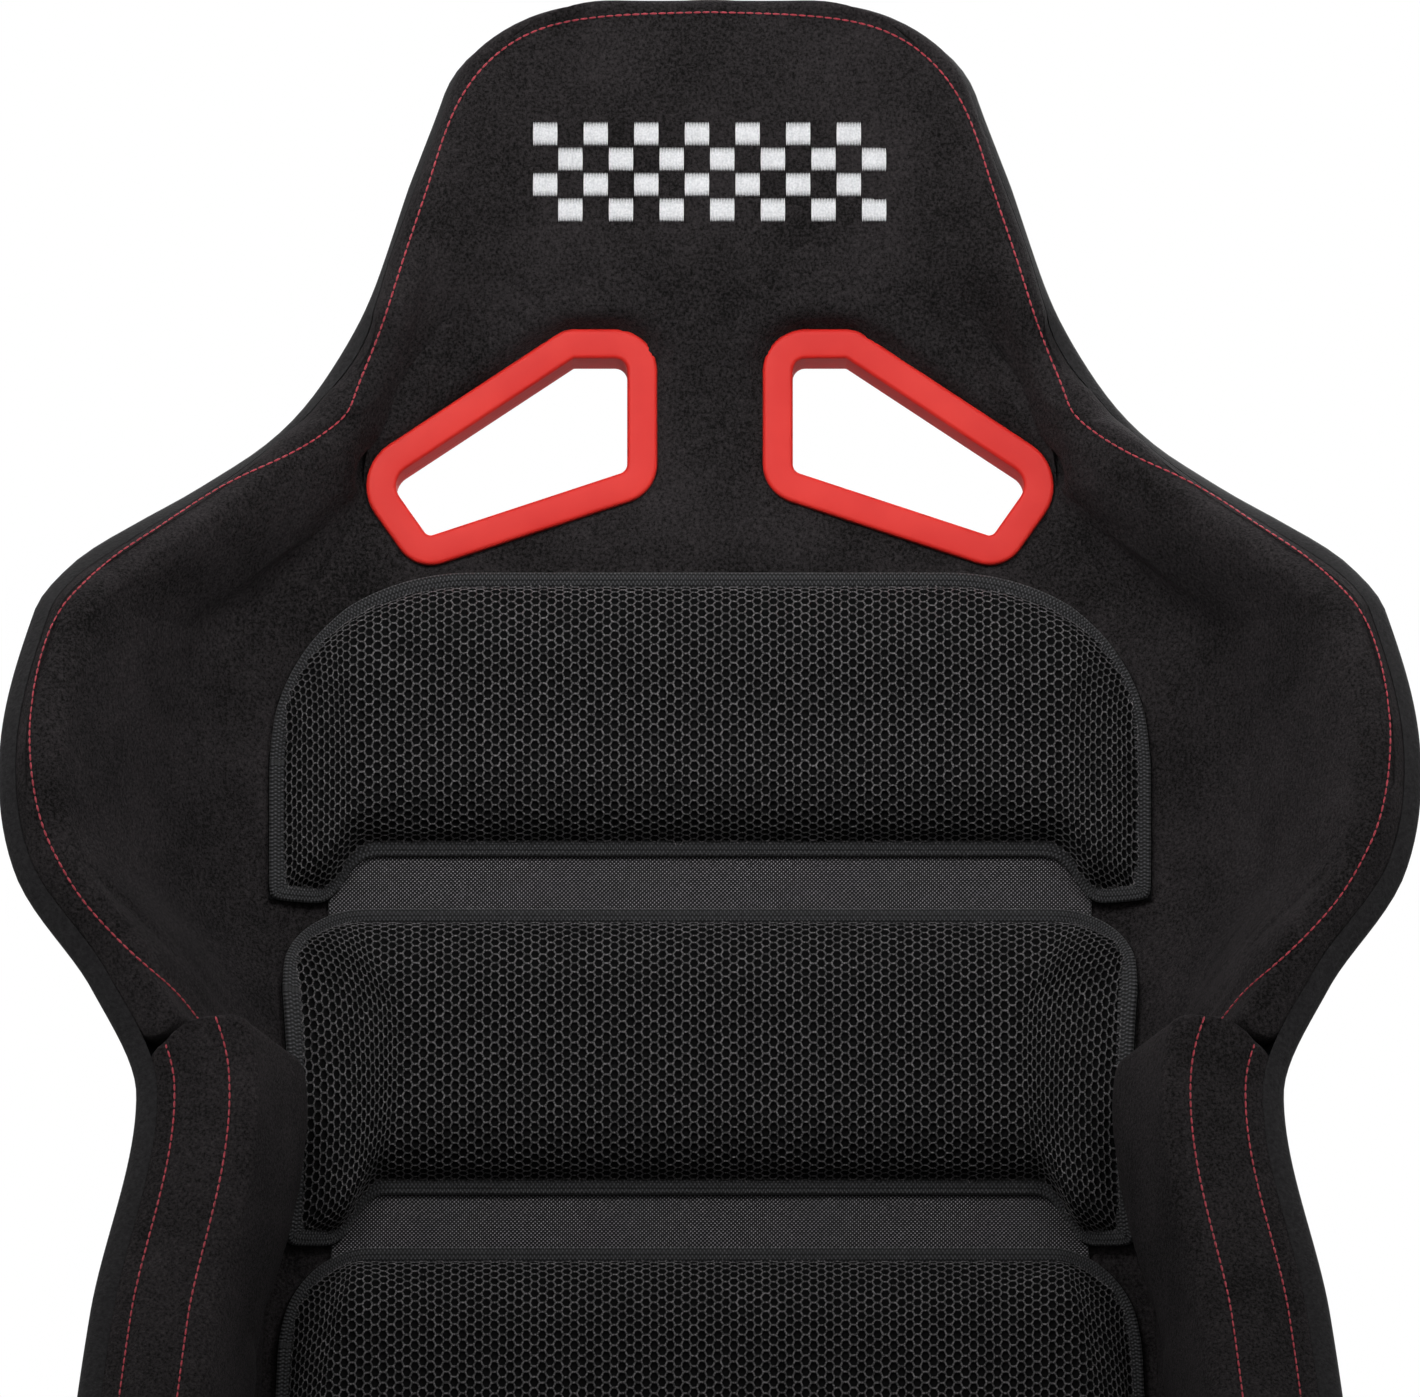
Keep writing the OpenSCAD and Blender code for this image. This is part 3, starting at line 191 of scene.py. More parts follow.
def new_mesh(name, points, faces, smooth_shading=True):
    """A mesh object in millimetres, in place."""
    mesh = bpy.data.meshes.new(name)
    mesh.from_pydata((np.asarray(points, float).reshape(-1, 3) * MM).tolist(), [], faces)
    mesh.validate()
    mesh.update()
    mesh.shade_smooth() if smooth_shading else mesh.shade_flat()
    obj = bpy.data.objects.new(name, mesh)
    scene.collection.objects.link(obj)
    return obj


def closed_slab(name, front, back):
    """A closed solid between two grids of points."""
    rows, cols = front.shape[:2]
    n = rows * cols
    faces = grid_faces(rows, cols, flip=True) + grid_faces(rows, cols, n)
    for j in range(cols - 1):
        faces.append([j, j + 1, n + j + 1, n + j])
        k = (rows - 1) * cols + j
        faces.append([k + 1, k, n + k, n + k + 1])
    for i in range(rows - 1):
        k = i * cols
        faces.append([k + cols, k, n + k, n + k + cols])
        k += cols - 1
        faces.append([k, k + cols, n + k + cols, n + k])
    obj = new_mesh(name, np.concatenate([front.reshape(-1, 3), back.reshape(-1, 3)]), faces)
    outward(obj)
    return obj


def outward(obj):
    bm = bmesh.new()
    bm.from_mesh(obj.data)
    bmesh.ops.remove_doubles(bm, verts=bm.verts, dist=1e-6)
    bmesh.ops.recalc_face_normals(bm, faces=bm.faces)
    bm.to_mesh(obj.data)
    bm.free()


def paint(code):
    """A colour written as sRGB hex, made linear."""
    parts = [int(code[i:i + 2], 16) / 255 for i in (1, 3, 5)]
    return tuple(c / 12.92 if c <= 0.04045 else ((c + 0.055) / 1.055) ** 2.4 for c in parts) + (1.0,)


def add(tree, kind, inputs=(), **settings):
    """A node with its settings and inputs. An input is a value or another node's output."""
    node = tree.nodes.new(kind)
    for key, value in settings.items():
        setattr(node, key, value)
    for key, value in dict(inputs).items():
        if isinstance(value, bpy.types.NodeSocket):
            tree.links.new(value, node.inputs[key])
        else:
            node.inputs[key].default_value = value
    return node


def finish(name, roughness, **sockets):
    """A material with one principled shader. Returns it with its tree, shader and object coordinates."""
    material = bpy.data.materials.new(name)
    material.use_nodes = True
    tree = material.node_tree
    shader = tree.nodes["Principled BSDF"]
    shader.inputs["Roughness"].default_value = roughness
    for key, value in sockets.items():
        shader.inputs[key.replace("_", " ")].default_value = value
    place = tree.nodes.new("ShaderNodeTexCoord").outputs["Object"]
    return material, tree, shader, place


def blotches(tree, place, scale, detail=3, roughness=0.5):
    return add(tree, "ShaderNodeTexNoise", {"Vector": place, "Scale": scale, "Detail": detail,
                                            "Roughness": roughness}).outputs["Fac"]


def two_tone(tree, shader, factor, low, high, start=0.3, end=0.7):
    ramp = add(tree, "ShaderNodeValToRGB", {"Fac": factor})
    ramp.color_ramp.elements[0].position, ramp.color_ramp.elements[0].color = start, paint(low)
    ramp.color_ramp.elements[1].position, ramp.color_ramp.elements[1].color = end, paint(high)
    tree.links.new(ramp.outputs["Color"], shader.inputs["Base Color"])
    return ramp


def relief(tree, shader, height, distance, strength=1.0, below=None):
    inputs = {"Height": height, "Distance": distance, "Strength": strength}
    if below is not None:
        inputs["Normal"] = below
    bump = add(tree, "ShaderNodeBump", inputs)
    tree.links.new(bump.outputs["Normal"], shader.inputs["Normal"])
    return bump.outputs["Normal"]


def math_node(tree, operation, *values):
    return add(tree, "ShaderNodeMath", dict(enumerate(values)), operation=operation).outputs[0]


def mottled(name, roughness, scale, low, high, grain=(), detail=3, **sockets):
    """A material that wavers between two tones. Its grain is a scale, a detail, a depth and a strength."""
    material, tree, shader, place = finish(name, roughness, **sockets)
    two_tone(tree, shader, blotches(tree, place, scale, detail), low, high)
    if grain:
        relief(tree, shader, blotches(tree, place, *grain[:2]), *grain[2:])
    return material


# Moulded composite: a dull charcoal with a faint mottle and grain
composite = mottled("moulded_composite", 0.55, 60, "#232427", "#2b2c30", (900, 2, 0.0001),
                    Specular_IOR_Level=0.4)


def coat(node, material):
    """Gives a carried-over CAD node its material."""
    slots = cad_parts[node].data.materials
    slots.clear()
    slots.append(material)


coat("shell", composite)

# ---- Shoulder and head upholstery ----
# One cover of microsuede over moulded foam, pulled over the shell's edge and held by a seam that
# runs round the edge. A decorative line of red thread follows the edge, set in a shallow groove.
BOLSTER_V = 449
SHELL_TOP, SHELL_END = NOSE, TOP - NOSE
SOFT_GAP, FIT_GAP = 0.4, 0.3
# Real size of one unit of the outline tables, and the x and the fall of the head's top in them
PX, TABLE_X, TABLE_TOP = 0.395, 710, 5


def from_table(pairs):
    """Outline tables give x and the fall from the top in the same units, for the left side."""
    table = np.array(pairs, float)
    return (table[:, 0] - TABLE_X) * PX, (table[:, 1] - TABLE_TOP) * PX


def centre_foam(v):
    return np.where(v < 60, mix(22, 26, ease(0, 60, v)),
                    np.where(v < 170, mix(26, 16, ease(120, 170, v)), mix(16, 12, ease(170, 230, v))))


def foam(v, q):
    return mix(centre_foam(v), np.where(v > BOLSTER_V, centre_foam(v), 20), ease(2, 7, column(v, q)))


def length_along(points):
    return np.r_[0, np.cumsum(np.linalg.norm(np.diff(points, axis=0), axis=1))]


def resample(points, step):
    """Points at an even spacing along a polyline."""
    at = length_along(points)
    even = np.linspace(0, at[-1], max(2, int(round(at[-1] / step)) + 1))
    return np.stack([np.interp(even, at, points[:, k]) for k in range(points.shape[1])], -1)


def rounded(points, passes=2):
    """Corner cutting, which turns a coarse polyline into a smooth one."""
    points = np.asarray(points, float)
    for _ in range(passes):
        a, b = points[:-1], points[1:]
        cut = np.stack([0.75 * a + 0.25 * b, 0.25 * a + 0.75 * b], 1).reshape(-1, 2)
        points = np.concatenate([points[:1], cut, points[-1:]])
    return points


TOPSTITCH = [
    (720, 12), (634, 14), (574, 19), (528, 32), (487, 60), (459, 99), (443, 138), (429, 184),
    (404, 257), (381, 331), (356, 390), (349, 413), (321, 436), (285, 457), (239, 477), (202, 498),
    (159, 527), (112, 557), (80, 586), (57, 612), (41, 653), (32, 698), (29, 736), (32, 781), (41, 825),
    (61, 867), (83, 902), (118, 940), (146, 966), (175, 990), (198, 1019)]


def distance_to(points, line):
    """Least distance from each point to a polyline, in the plane."""
    best = np.full(points.shape[:-1], 1e9)
    for a, b in zip(line[:-1], line[1:]):
        d = b - a
        t = np.clip(((points - a) @ d) / max(1e-9, d @ d), 0, 1)
        best = np.minimum(best, np.linalg.norm(points - a - t[..., None] * d, axis=-1))
    return best


BEZEL_CORNERS = np.array([[-21, 48, 12], [66, -10, 20], [38, -50, 15], [-58, -18, 16], [-58, 48, 17]], float)
BEZEL_W, BEZEL_T, BEZEL_SEAT, SLEEVE_T = 12, 4, 11, 2


def bezel_outline(inset, steps=10):
    """The opening's five-cornered outline, moved inward, with its corner radii reduced to match."""
    n = len(BEZEL_CORNERS)
    xy, radii = BEZEL_CORNERS[:, :2], BEZEL_CORNERS[:, 2]

    def towards(a, b):
        return (b - a) / np.linalg.norm(b - a)

    moved = []
    for i in range(n):
        p, d1, d2 = xy[i], towards(xy[i], xy[i - 1]), towards(xy[i], xy[(i + 1) % n])
        half = math.acos(d1 @ d2) / 2
        moved.append(p + towards(np.zeros(2), d1 + d2) * inset / math.sin(half))
    out = []
    for i in range(n):
        p, d1, d2 = moved[i], towards(moved[i], moved[i - 1]), towards(moved[i], moved[(i + 1) % n])
        half, r = math.acos(d1 @ d2) / 2, max(2, radii[i] - inset)
        centre = p + towards(np.zeros(2), d1 + d2) * r / math.sin(half)
        a = p + d1 * r / math.tan(half) - centre
        b = p + d2 * r / math.tan(half) - centre
        start, end = math.atan2(a[1], a[0]), math.atan2(b[1], b[0])
        sweep = (end - start + math.pi) % (2 * math.pi) - math.pi
        turns = [start + sweep * k / steps for k in range(steps + 1)]
        out += [centre + r * np.array([math.cos(a), math.sin(a)]) for a in turns]
    return np.array(out)


opening_o = bucket(np.array([OPENING_V]), np.array([0.0]))[0]
HEAD_TILT = math.radians(HEAD_A)
OPENING_UP = np.array([0, math.cos(HEAD_TILT), math.sin(HEAD_TILT)])
OPENING_OUT = np.array([0, -math.sin(HEAD_TILT), math.cos(HEAD_TILT)])


def in_opening(points, side):
    """Coordinates of points in an opening's own frame: outward, up the back, out of the front."""
    p = points - np.array([side * OPENING_X, opening_o[1], opening_o[2]])
    return np.stack([side * p[..., 0], p @ OPENING_UP, p @ OPENING_OUT], -1)


def opening_loop(inset, z, side):
    """An opening's outline in its place, moved inward and lying z mm out of the front."""
    outline = bezel_outline(inset)
    base = np.array([side * OPENING_X, opening_o[1], opening_o[2]])
    return base + outline[:, :1] * np.array([side, 0, 0]) + outline[:, 1:] * OPENING_UP + z * OPENING_OUT


def inside(points, outline):
    """Whether points in the plane lie inside a closed outline."""
    x, y = points[..., 0], points[..., 1]
    hit = np.zeros(x.shape, bool)
    for (x1, y1), (x2, y2) in zip(outline, np.roll(outline, -1, 0)):
        cross = (y1 > y) != (y2 > y)
        hit ^= cross & (x < (x2 - x1) * (y - y1) / np.where(y2 == y1, 1e-9, y2 - y1) + x1)
    return hit


HEAD_TOP = laid(0, 0, 0)[2] - 3  # height of the outline tables' top
PLANE_Y, VIEW_FALL = 240, (1397 / 2 - TABLE_TOP) * PX
EYE = np.array([0, -11800, HEAD_TOP - VIEW_FALL])  # where a viewer stands, level with the view's middle


def as_seen(points):
    """x and z where the viewer's sight of each point crosses the plane of the outline tables."""
    nearer = (PLANE_Y - EYE[1]) / (points[..., 1:2] - EYE[1])
    return EYE[[0, 2]] + (points[..., [0, 2]] - EYE[[0, 2]]) * nearer


def seen_line(pairs, step=6):
    """x and z of a line of an outline table, smoothed and evenly spaced."""
    x, fall = from_table(pairs)
    return resample(rounded(np.stack([x, HEAD_TOP - fall], -1)), step)


stitch_line = seen_line(TOPSTITCH, 4)
stitch_line = stitch_line[stitch_line[:, 0] <= 0]
stitch_line = np.concatenate([stitch_line[::-1], stitch_line * [-1, 1]])


def soft_waves(v, q, size, seed):
    """Slow, smooth unevenness of a pulled cover, from a few sines with fixed phases."""
    rng = np.random.default_rng(seed)
    total = 0
    for _ in range(9):
        angle, wave, phase = rng.uniform(0, 6.28), rng.uniform(45, 130), rng.uniform(0, 6.28)
        total = total + np.sin((v * math.cos(angle) + q * 90 * math.sin(angle)) * 6.283 / wave + phase)
    return total * size / 4


def relaxed(points, v, weight=1.0, passes=14):
    """Smooths a grid of points where the flat round an opening runs into the wing."""
    for _ in range(passes):
        far = np.hypot(np.abs(points[..., 0]) - OPENING_X, v - OPENING_V)
        pull = 0.5 * weight * ease(52, 62, far) * (1 - ease(90, 115, far))
        even = (points[2:, 1:-1] + points[:-2, 1:-1] + points[1:-1, 2:] + points[1:-1, :-2]) / 4
        points = points.copy()
        points[1:-1, 1:-1] += (even - points[1:-1, 1:-1]) * pull[1:-1, 1:-1, None]
    return points


PUFF_FRAMES = 20


def puff(obj, held, cap, pressure=4):
    """Blows a closed soft piece up as cloth. Held vertices stay, and the others move at most cap mm.
    Returns how far each vertex moved, in millimetres."""
    start = np.empty(len(held) * 3, np.float32)
    obj.data.vertices.foreach_get("co", start)
    group = obj.vertex_groups.new(name="held")
    group.add(np.flatnonzero(held).tolist(), 1.0, "REPLACE")
    cloth = obj.modifiers.new("cloth", "CLOTH")
    cloth.settings.quality = 3
    cloth.settings.use_pressure = True
    cloth.settings.uniform_pressure_force = pressure
    cloth.settings.effector_weights.gravity = 0
    cloth.settings.vertex_group_mass = "held"
    cloth.collision_settings.use_collision = False
    cloth.point_cache.frame_start, cloth.point_cache.frame_end = 1, PUFF_FRAMES
    for moment in range(1, PUFF_FRAMES + 1):
        scene.frame_set(moment)
    blown = np.empty_like(start)
    obj.evaluated_get(bpy.context.evaluated_depsgraph_get()).data.vertices.foreach_get("co", blown)
    scene.frame_set(1)
    obj.modifiers.clear()
    obj.vertex_groups.clear()
    move = (blown - start).reshape(-1, 3) / MM
    far = np.maximum(np.linalg.norm(move, axis=1, keepdims=True), 1e-6)
    move *= cap * np.tanh(far / cap) / far
    obj.data.vertices.foreach_set("co", start + (move * MM).astype(np.float32).ravel())
    obj.data.update()
    return move


def press_on(obj, points, toward, back=30, lift=0.0):
    """Moves points along a direction until they meet a piece, then lifts them off along its normal."""
    bm = bmesh.new()
    bm.from_mesh(obj.data)
    tree = BVHTree.FromBMesh(bm)
    bm.free()
    points = np.asarray(points, float)
    toward = np.broadcast_to(toward, points.shape)
    met = []
    for point, way in zip(points, toward):
        hit, normal, _, _ = tree.ray_cast(Vector((point - way * back) * MM), Vector(way))
        if hit is not None:
            met.append(np.array(hit) / MM + lift * np.array(normal))
    return np.array(met)


def seen_on(obj, line, lift=0.0):
    """Puts a line given by x and z on a piece as it is seen from the front."""
    points = np.stack([line[:, 0], np.full(len(line), PLANE_Y), line[:, 1]], -1)
    return press_on(obj, points, unit(points - EYE), 600, lift)


def places_across(flat, corner, flank, past_rim):
    """Places across the section, from counts for its parts and steps past its rim, to both sides."""
    half = np.concatenate([np.linspace(0, 1, flat), np.linspace(1, 2, corner)[1:],
                           np.linspace(2, 3, flank)[1:], 3 + past_rim])
    return np.concatenate([-half[:0:-1], half])


def turned(past, radius):
    """The share of a piece's thickness that is left past the place where its edge starts to turn."""
    return np.sqrt(np.clip(1 - (np.maximum(0, past) / radius) ** 2, 0.0004, 1))


END_R = 6
GROOVE, GROOVE_W, BESIDE = 1.1, 2.4, 0.5  # depth and width of a sewn groove, and the swell beside it
UNDER_V, UNDER_X = 238, 164  # the cover lies flat under the mesh pads, from here down and inward
top_turn = np.sin(np.linspace(math.pi / 2, 0, 8))
head_vs = np.concatenate([SHELL_TOP - NOSE * top_turn[:-1], np.linspace(SHELL_TOP, BOLSTER_V - END_R, 170),
                          BOLSTER_V - END_R + END_R * top_turn[-2::-1]])
head_qs = places_across(12, 30, 26, NOSE / 10 * np.sin(np.linspace(0, math.pi / 2, 8))[1:])
V, Q = np.meshgrid(head_vs, head_qs, indexing="ij")
thick = foam(V, Q)
rest = turned((np.abs(Q) - 3) * 10, NOSE) * turned(SHELL_TOP - V, NOSE) * turned(V - BOLSTER_V + END_R, END_R)
middle = (thick + FIT_GAP) / 2
half_t = (thick - FIT_GAP) / 2 * rest
front_n = middle + half_t
plain_n = front_n
seen = laid(V, Q, front_n)
off_stitch = distance_to(as_seen(seen), stitch_line)
front_n = front_n - GROOVE * np.exp(-((off_stitch / GROOVE_W) ** 2))
front_n = front_n + BESIDE * np.exp(-(((off_stitch - 7) / 4) ** 2))
front_n = front_n + soft_waves(V, Q, 0.3, 3) * ease(0, 1, rest)
BEZEL_RISE = 9  # mm over which the cover rises again from a bezel's edge
from_bezels = np.full(V.shape, 99.0)
held = (rest < 0.75) | (off_stitch < 2.2) | ((V > UNDER_V) & (np.abs(seen[..., 0]) < UNDER_X))
for side in (-1, 1):
    local = in_opening(seen, side)[..., :2]
    ring = np.concatenate([bezel_outline(0), bezel_outline(0)[:1]])
    away = np.where(inside(local, bezel_outline(0)), 0, distance_to(local, ring))
    risen = np.sqrt(1 - np.maximum(0, 1 - away / BEZEL_RISE) ** 2)
    sunk = BEZEL_SEAT - 0.4 + (thick - BEZEL_SEAT + 0.4) * risen
    front_n = np.minimum(front_n, np.where(away < BEZEL_RISE, sunk + 0.25, 1e9))
    held |= away < 3
    from_bezels = np.minimum(from_bezels, away)
drawn = relaxed(seen, V, ease(1, 8, from_bezels) * (rest > 0.999))
drawn += (front_n - plain_n)[..., None] * (laid(V, Q, plain_n + 1) - seen)
shoulder_pad = closed_slab("shoulder_upholstery", drawn, laid(V, Q, middle - half_t))
puff(shoulder_pad, np.concatenate([held.ravel(), np.ones(held.size, bool)]), 1.6)


def cut_through(obj, loops):
    """Cuts the prism between two loops of points out of a closed piece."""
    n = len(loops[0])
    faces = [[i, (i + 1) % n, n + (i + 1) % n, n + i] for i in range(n)]
    faces += [list(range(n))[::-1], list(range(n, 2 * n))]
    cutter = new_mesh("cutter", np.concatenate(loops), faces)
    outward(cutter)
    cut = obj.modifiers.new("cut", "BOOLEAN")
    cut.object, cut.operation, cut.solver = cutter, "DIFFERENCE", "EXACT"
    settle(obj)
    bpy.data.objects.remove(cutter)


def cut_openings(obj, inset):
    """Cuts the two harness openings through a closed piece."""
    for side in (-1, 1):
        cut_through(obj, [opening_loop(inset, z, side) for z in (-60, 80)])


def settle(obj):
    """Applies an object's modifiers and drops them."""
    bpy.context.view_layer.update()
    done = bpy.data.meshes.new_from_object(obj.evaluated_get(bpy.context.evaluated_depsgraph_get()))
    obj.modifiers.clear()
    obj.data = done


COVER_INSET = BEZEL_W - SLEEVE_T - 0.6  # the covers' cut edges lie just outside the bezels' sleeves
cut_openings(shoulder_pad, COVER_INSET)
shoulder_pad.data.shade_smooth()

# Microsuede: a matt near-black, cloudy where the nap is brushed both ways, with a fine short grain
suede, tree, shader, place = finish("black_microsuede", 0.94, Specular_IOR_Level=0.12, Sheen_Weight=0.07,
                                    Sheen_Roughness=0.5, Sheen_Tint=paint("#8a8488"))
brushed = blotches(tree, place, 24, 4, 0.6)
nap = blotches(tree, place, 850, 4, 0.75)
cloud = math_node(tree, "ADD", math_node(tree, "MULTIPLY", brushed, 0.25),
                  math_node(tree, "MULTIPLY", nap, 0.75))
two_tone(tree, shader, cloud, "#080707", "#3a3637", 0.4, 0.66)
fine = relief(tree, shader, nap, 0.0006, strength=1.0)
relief(tree, shader, blotches(tree, place, 120, 2), 0.0006, below=fine, strength=0.4)
shoulder_pad.data.materials.append(suede)
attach(shoulder_pad, "seat")
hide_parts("shoulder_pad")


# ---- Red topstitching ----
# Bonded polyester thread, sewn by machine at 3.5 mm a stitch. Each stitch is a short float of
# thread that dips into the cover at both ends.
def start_tree(name, result, **inputs):
    """A node tree with named inputs, each given as a kind of socket or as a length's usual value."""
    tree = bpy.data.node_groups.new(name, "GeometryNodeTree")
    for key, value in inputs.items():
        kind = value if isinstance(value, str) else "Float"
        socket = tree.interface.new_socket(key, in_out="INPUT", socket_type=f"NodeSocket{kind}")
        if kind == "Float":
            socket.default_value = value
    tree.interface.new_socket(result, in_out="OUTPUT", socket_type="NodeSocketGeometry")
    return tree, tree.nodes.new("NodeGroupInput").outputs


def stitch_tree():
    """Lays short floats of thread along a line."""
    tree, start = start_tree("stitches", "Stitches", Line="Geometry", Pitch=0.0035, Length=0.003,
                             Radius=0.0004, Across="Bool", Upright="Vector", Thread="Material")
    line = add(tree, "GeometryNodeMeshToCurve", {"Mesh": start["Line"]}).outputs[0]
    spots = add(tree, "GeometryNodeCurveToPoints", {"Curve": line, "Length": start["Pitch"]}, mode="LENGTH")
    bead = add(tree, "GeometryNodeMeshUVSphere", {"Segments": 6, "Rings": 5, "Radius": 1.0}).outputs["Mesh"]
    half = add(tree, "ShaderNodeMath", {0: start["Length"], 1: 0.5}, operation="MULTIPLY").outputs[0]
    thick = start["Radius"]
    size = add(tree, "ShaderNodeCombineXYZ", {"X": thick, "Y": thick, "Z": half}).outputs[0]
    way = add(tree, "GeometryNodeSwitch", {"Switch": start["Across"], "False": spots.outputs["Tangent"],
                                           "True": start["Upright"]}, input_type="VECTOR").outputs[0]
    turn = add(tree, "FunctionNodeAlignRotationToVector", {"Vector": way}, axis="Z")
    laid_out = add(tree, "GeometryNodeInstanceOnPoints", {"Points": spots.outputs["Points"], "Instance": bead,
                                                          "Rotation": turn.outputs[0], "Scale": size})
    real = add(tree, "GeometryNodeRealizeInstances", {"Geometry": laid_out.outputs[0]}).outputs[0]
    shaded = add(tree, "GeometryNodeSetShadeSmooth", {"Geometry": real}).outputs[0]
    dyed = add(tree, "GeometryNodeSetMaterial", {"Geometry": shaded, "Material": start["Thread"]}).outputs[0]
    add(tree, "NodeGroupOutput", {"Stitches": dyed})
    return tree


stitches = stitch_tree()


def run_nodes(obj, tree, **inputs):
    """Runs a node tree on an object with its inputs by name, and keeps the plain mesh."""
    modifier = obj.modifiers.new("nodes", "NODES")
    modifier.node_group = tree
    for item in tree.interface.items_tree:
        if item.item_type == "SOCKET" and item.in_out == "INPUT" and item.name in inputs:
            modifier[item.identifier] = inputs[item.name]
    settle(obj)


def polyline(name, lines):
    """Loose edges along one or more lines of points, in millimetres."""
    points, edges = [], []
    for line in lines:
        edges += [(len(points) + i, len(points) + i + 1) for i in range(len(line) - 1)]
        points += (np.asarray(line) * MM).tolist()
    mesh = bpy.data.meshes.new(name)
    mesh.from_pydata(points, edges, [])
    obj = bpy.data.objects.new(name, mesh)
    scene.collection.objects.link(obj)
    return obj


def sew(name, lines, thread, slot, pitch=3.5, length=3.1, radius=0.42, **floats):
    """Lays stitches along lines of points, in one piece that rides on the seat."""
    obj = polyline(name, lines)
    run_nodes(obj, stitches, Pitch=pitch * MM, Length=length * MM, Radius=radius * MM, Thread=thread,
              **floats)
    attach(obj, "seat")
    return obj


# Bonded polyester thread: a slightly shiny crimson
red_thread = mottled("red_polyester_thread", 0.6, 1500, "#98202f", "#c63a4a", detail=1, Sheen_Weight=0.2)
sew("topstitch_shoulders", [seen_on(shoulder_pad, stitch_line, 0.12)], red_thread, "red_plastic")

# ---- Embroidered band ----
# A plain chequered band in white satin stitch across the head. Each square is a row of upright
# floats of thread, laid side by side at 0.6 mm over the cover.
SQUARE, BAND_COLS, BAND_ROWS, BAND_FALL, SATIN = 10, 14, 4, 46, 0.6
# Rayon embroidery thread: a bright white with a silky sheen
white_thread = mottled("white_rayon_thread", 0.42, 1300, "#d4d5d8", "#f1f1f3", detail=1, Sheen_Weight=0.3,
                       Anisotropic=0.5)
satin = []
for row in range(BAND_ROWS):
    for column_at in range(row % 2, BAND_COLS, 2):
        x0 = (column_at - BAND_COLS / 2) * SQUARE
        xs = np.arange(x0 + 0.35, x0 + SQUARE - 0.3, SATIN)
        zs = np.full_like(xs, HEAD_TOP - BAND_FALL - (row + 0.5) * SQUARE)
        satin.append(seen_on(shoulder_pad, np.stack([xs, zs], -1), 0.25))
sew("embroidered_band", satin, white_thread, "nylon", pitch=SATIN, length=SQUARE - 0.1, radius=0.36,
    Across=True, Upright=tuple(OPENING_UP))

# ---- Harness bezels ----
# Injection-moulded frames in red, in two halves: each has a flange with rounded edges and a sleeve
# that lines the opening. The halves clamp the shell and are pulled together by small screws.
ROUND, CROWNED = 1.6, 0.12


def tube_faces(loops, n):
    """Faces of a closed tube of loops with n points each, whose last loop joins its first."""
    return [[k * n + i, k * n + (i + 1) % n, (k + 1) % loops * n + (i + 1) % n, (k + 1) % loops * n + i]
            for k in range(loops) for i in range(n)]


def bezel(name, side, seat, out, reach):
    """One half of a bezel: its flange lies at seat and faces along out, and its sleeve reaches back."""
    rim = [(ROUND * (1 - math.cos(a)), BEZEL_T - ROUND + ROUND * math.sin(a))
           for a in np.linspace(0, math.pi / 2, 6)]
    steps = [(0.25, 0.0), (0.0, 0.35), *rim]
    steps += [(BEZEL_W * share, BEZEL_T + CROWNED) for share in (0.35, 0.65)]
    steps += [(BEZEL_W - inset, z) for inset, z in rim[::-1]]
    steps += [(BEZEL_W, -reach), (BEZEL_W - SLEEVE_T, -reach), (BEZEL_W - SLEEVE_T, 0.0)]
    loops = [opening_loop(inset, seat + out * z, side) for inset, z in steps]
    faces = tube_faces(len(loops), len(loops[0]))
    obj = new_mesh(name, np.concatenate(loops), faces)
    outward(obj)
    obj.data.shade_smooth()
    obj.data.set_sharp_from_angle(angle=math.radians(50))
    return obj


# Moulded plastic: an even signal red, satin, with a faint grain from the mould
red_plastic = mottled("red_moulded_plastic", 0.5, 40, "#d82822", "#e2332b", (1400, 2, 0.00004, 0.5), detail=2,
                      Specular_IOR_Level=0.22)
HALVES = (("front", BEZEL_SEAT, 1, BEZEL_SEAT + 1), ("rear", -SKIN - FIT_GAP, -1, SKIN - 1))
for side, word in ((-1, "left"), (1, "right")):
    for half, seat, out, reach in HALVES:
        piece = bezel(f"{half}_harness_bezel_{word}", side, seat, out, reach)
        piece.data.materials.append(red_plastic)
        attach(piece, "seat")
        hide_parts(f"{half}_bezel_{word}")

# ---- Back and base foam under the cushions ----
# Plain panels of the same microsuede over thin foam, between the bolsters, glued to the shell. The
# loose cushions lie on them.
PAD_END = TOP - HIP_START + 25
for name, node, v0, v1 in (("back_upholstery", "back_pad", BOLSTER_V + 2 * SOFT_GAP, PAD_END - SOFT_GAP),
                           ("seat_upholstery", "seat_pad", PAD_END + SOFT_GAP, SHELL_END + NOSE)):
    vs = np.linspace(v0, v1, 90)
    across = np.linspace(-1, 1, 61)
    V, T = np.meshgrid(vs, across, indexing="ij")
    Q = T * bolster_edge(V, 2 * SOFT_GAP)
    low = turned(V - SHELL_END, NOSE)
    thick = centre_foam(V)
    side_drop = 1 - 0.2 * ease(0.9, 1, np.abs(T))
    half_t = (thick - FIT_GAP) / 2 * low * side_drop
    middle = (thick + FIT_GAP) / 2
    n = np.minimum(middle + half_t + soft_waves(V, Q, 0.12, 8), thick + 0.1)
    pad = closed_slab(name, laid(V, Q, n), laid(V, Q, middle - half_t))
    pad.data.materials.append(suede)
    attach(pad, "seat")
    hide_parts(node)

# ---- Side bolsters ----
# Thick foam wedges in microsuede, sewn from three strips: the inner face, the narrow front strip and
# the outer face. The two seams between them are topstitched in red, and pull the cover in.
BOLSTER_TOP = BOLSTER_V + 2 * SOFT_GAP + END_R
BOLSTER_T = 45
SEAM_IN, SEAM_OUT = 0.76, 0.24


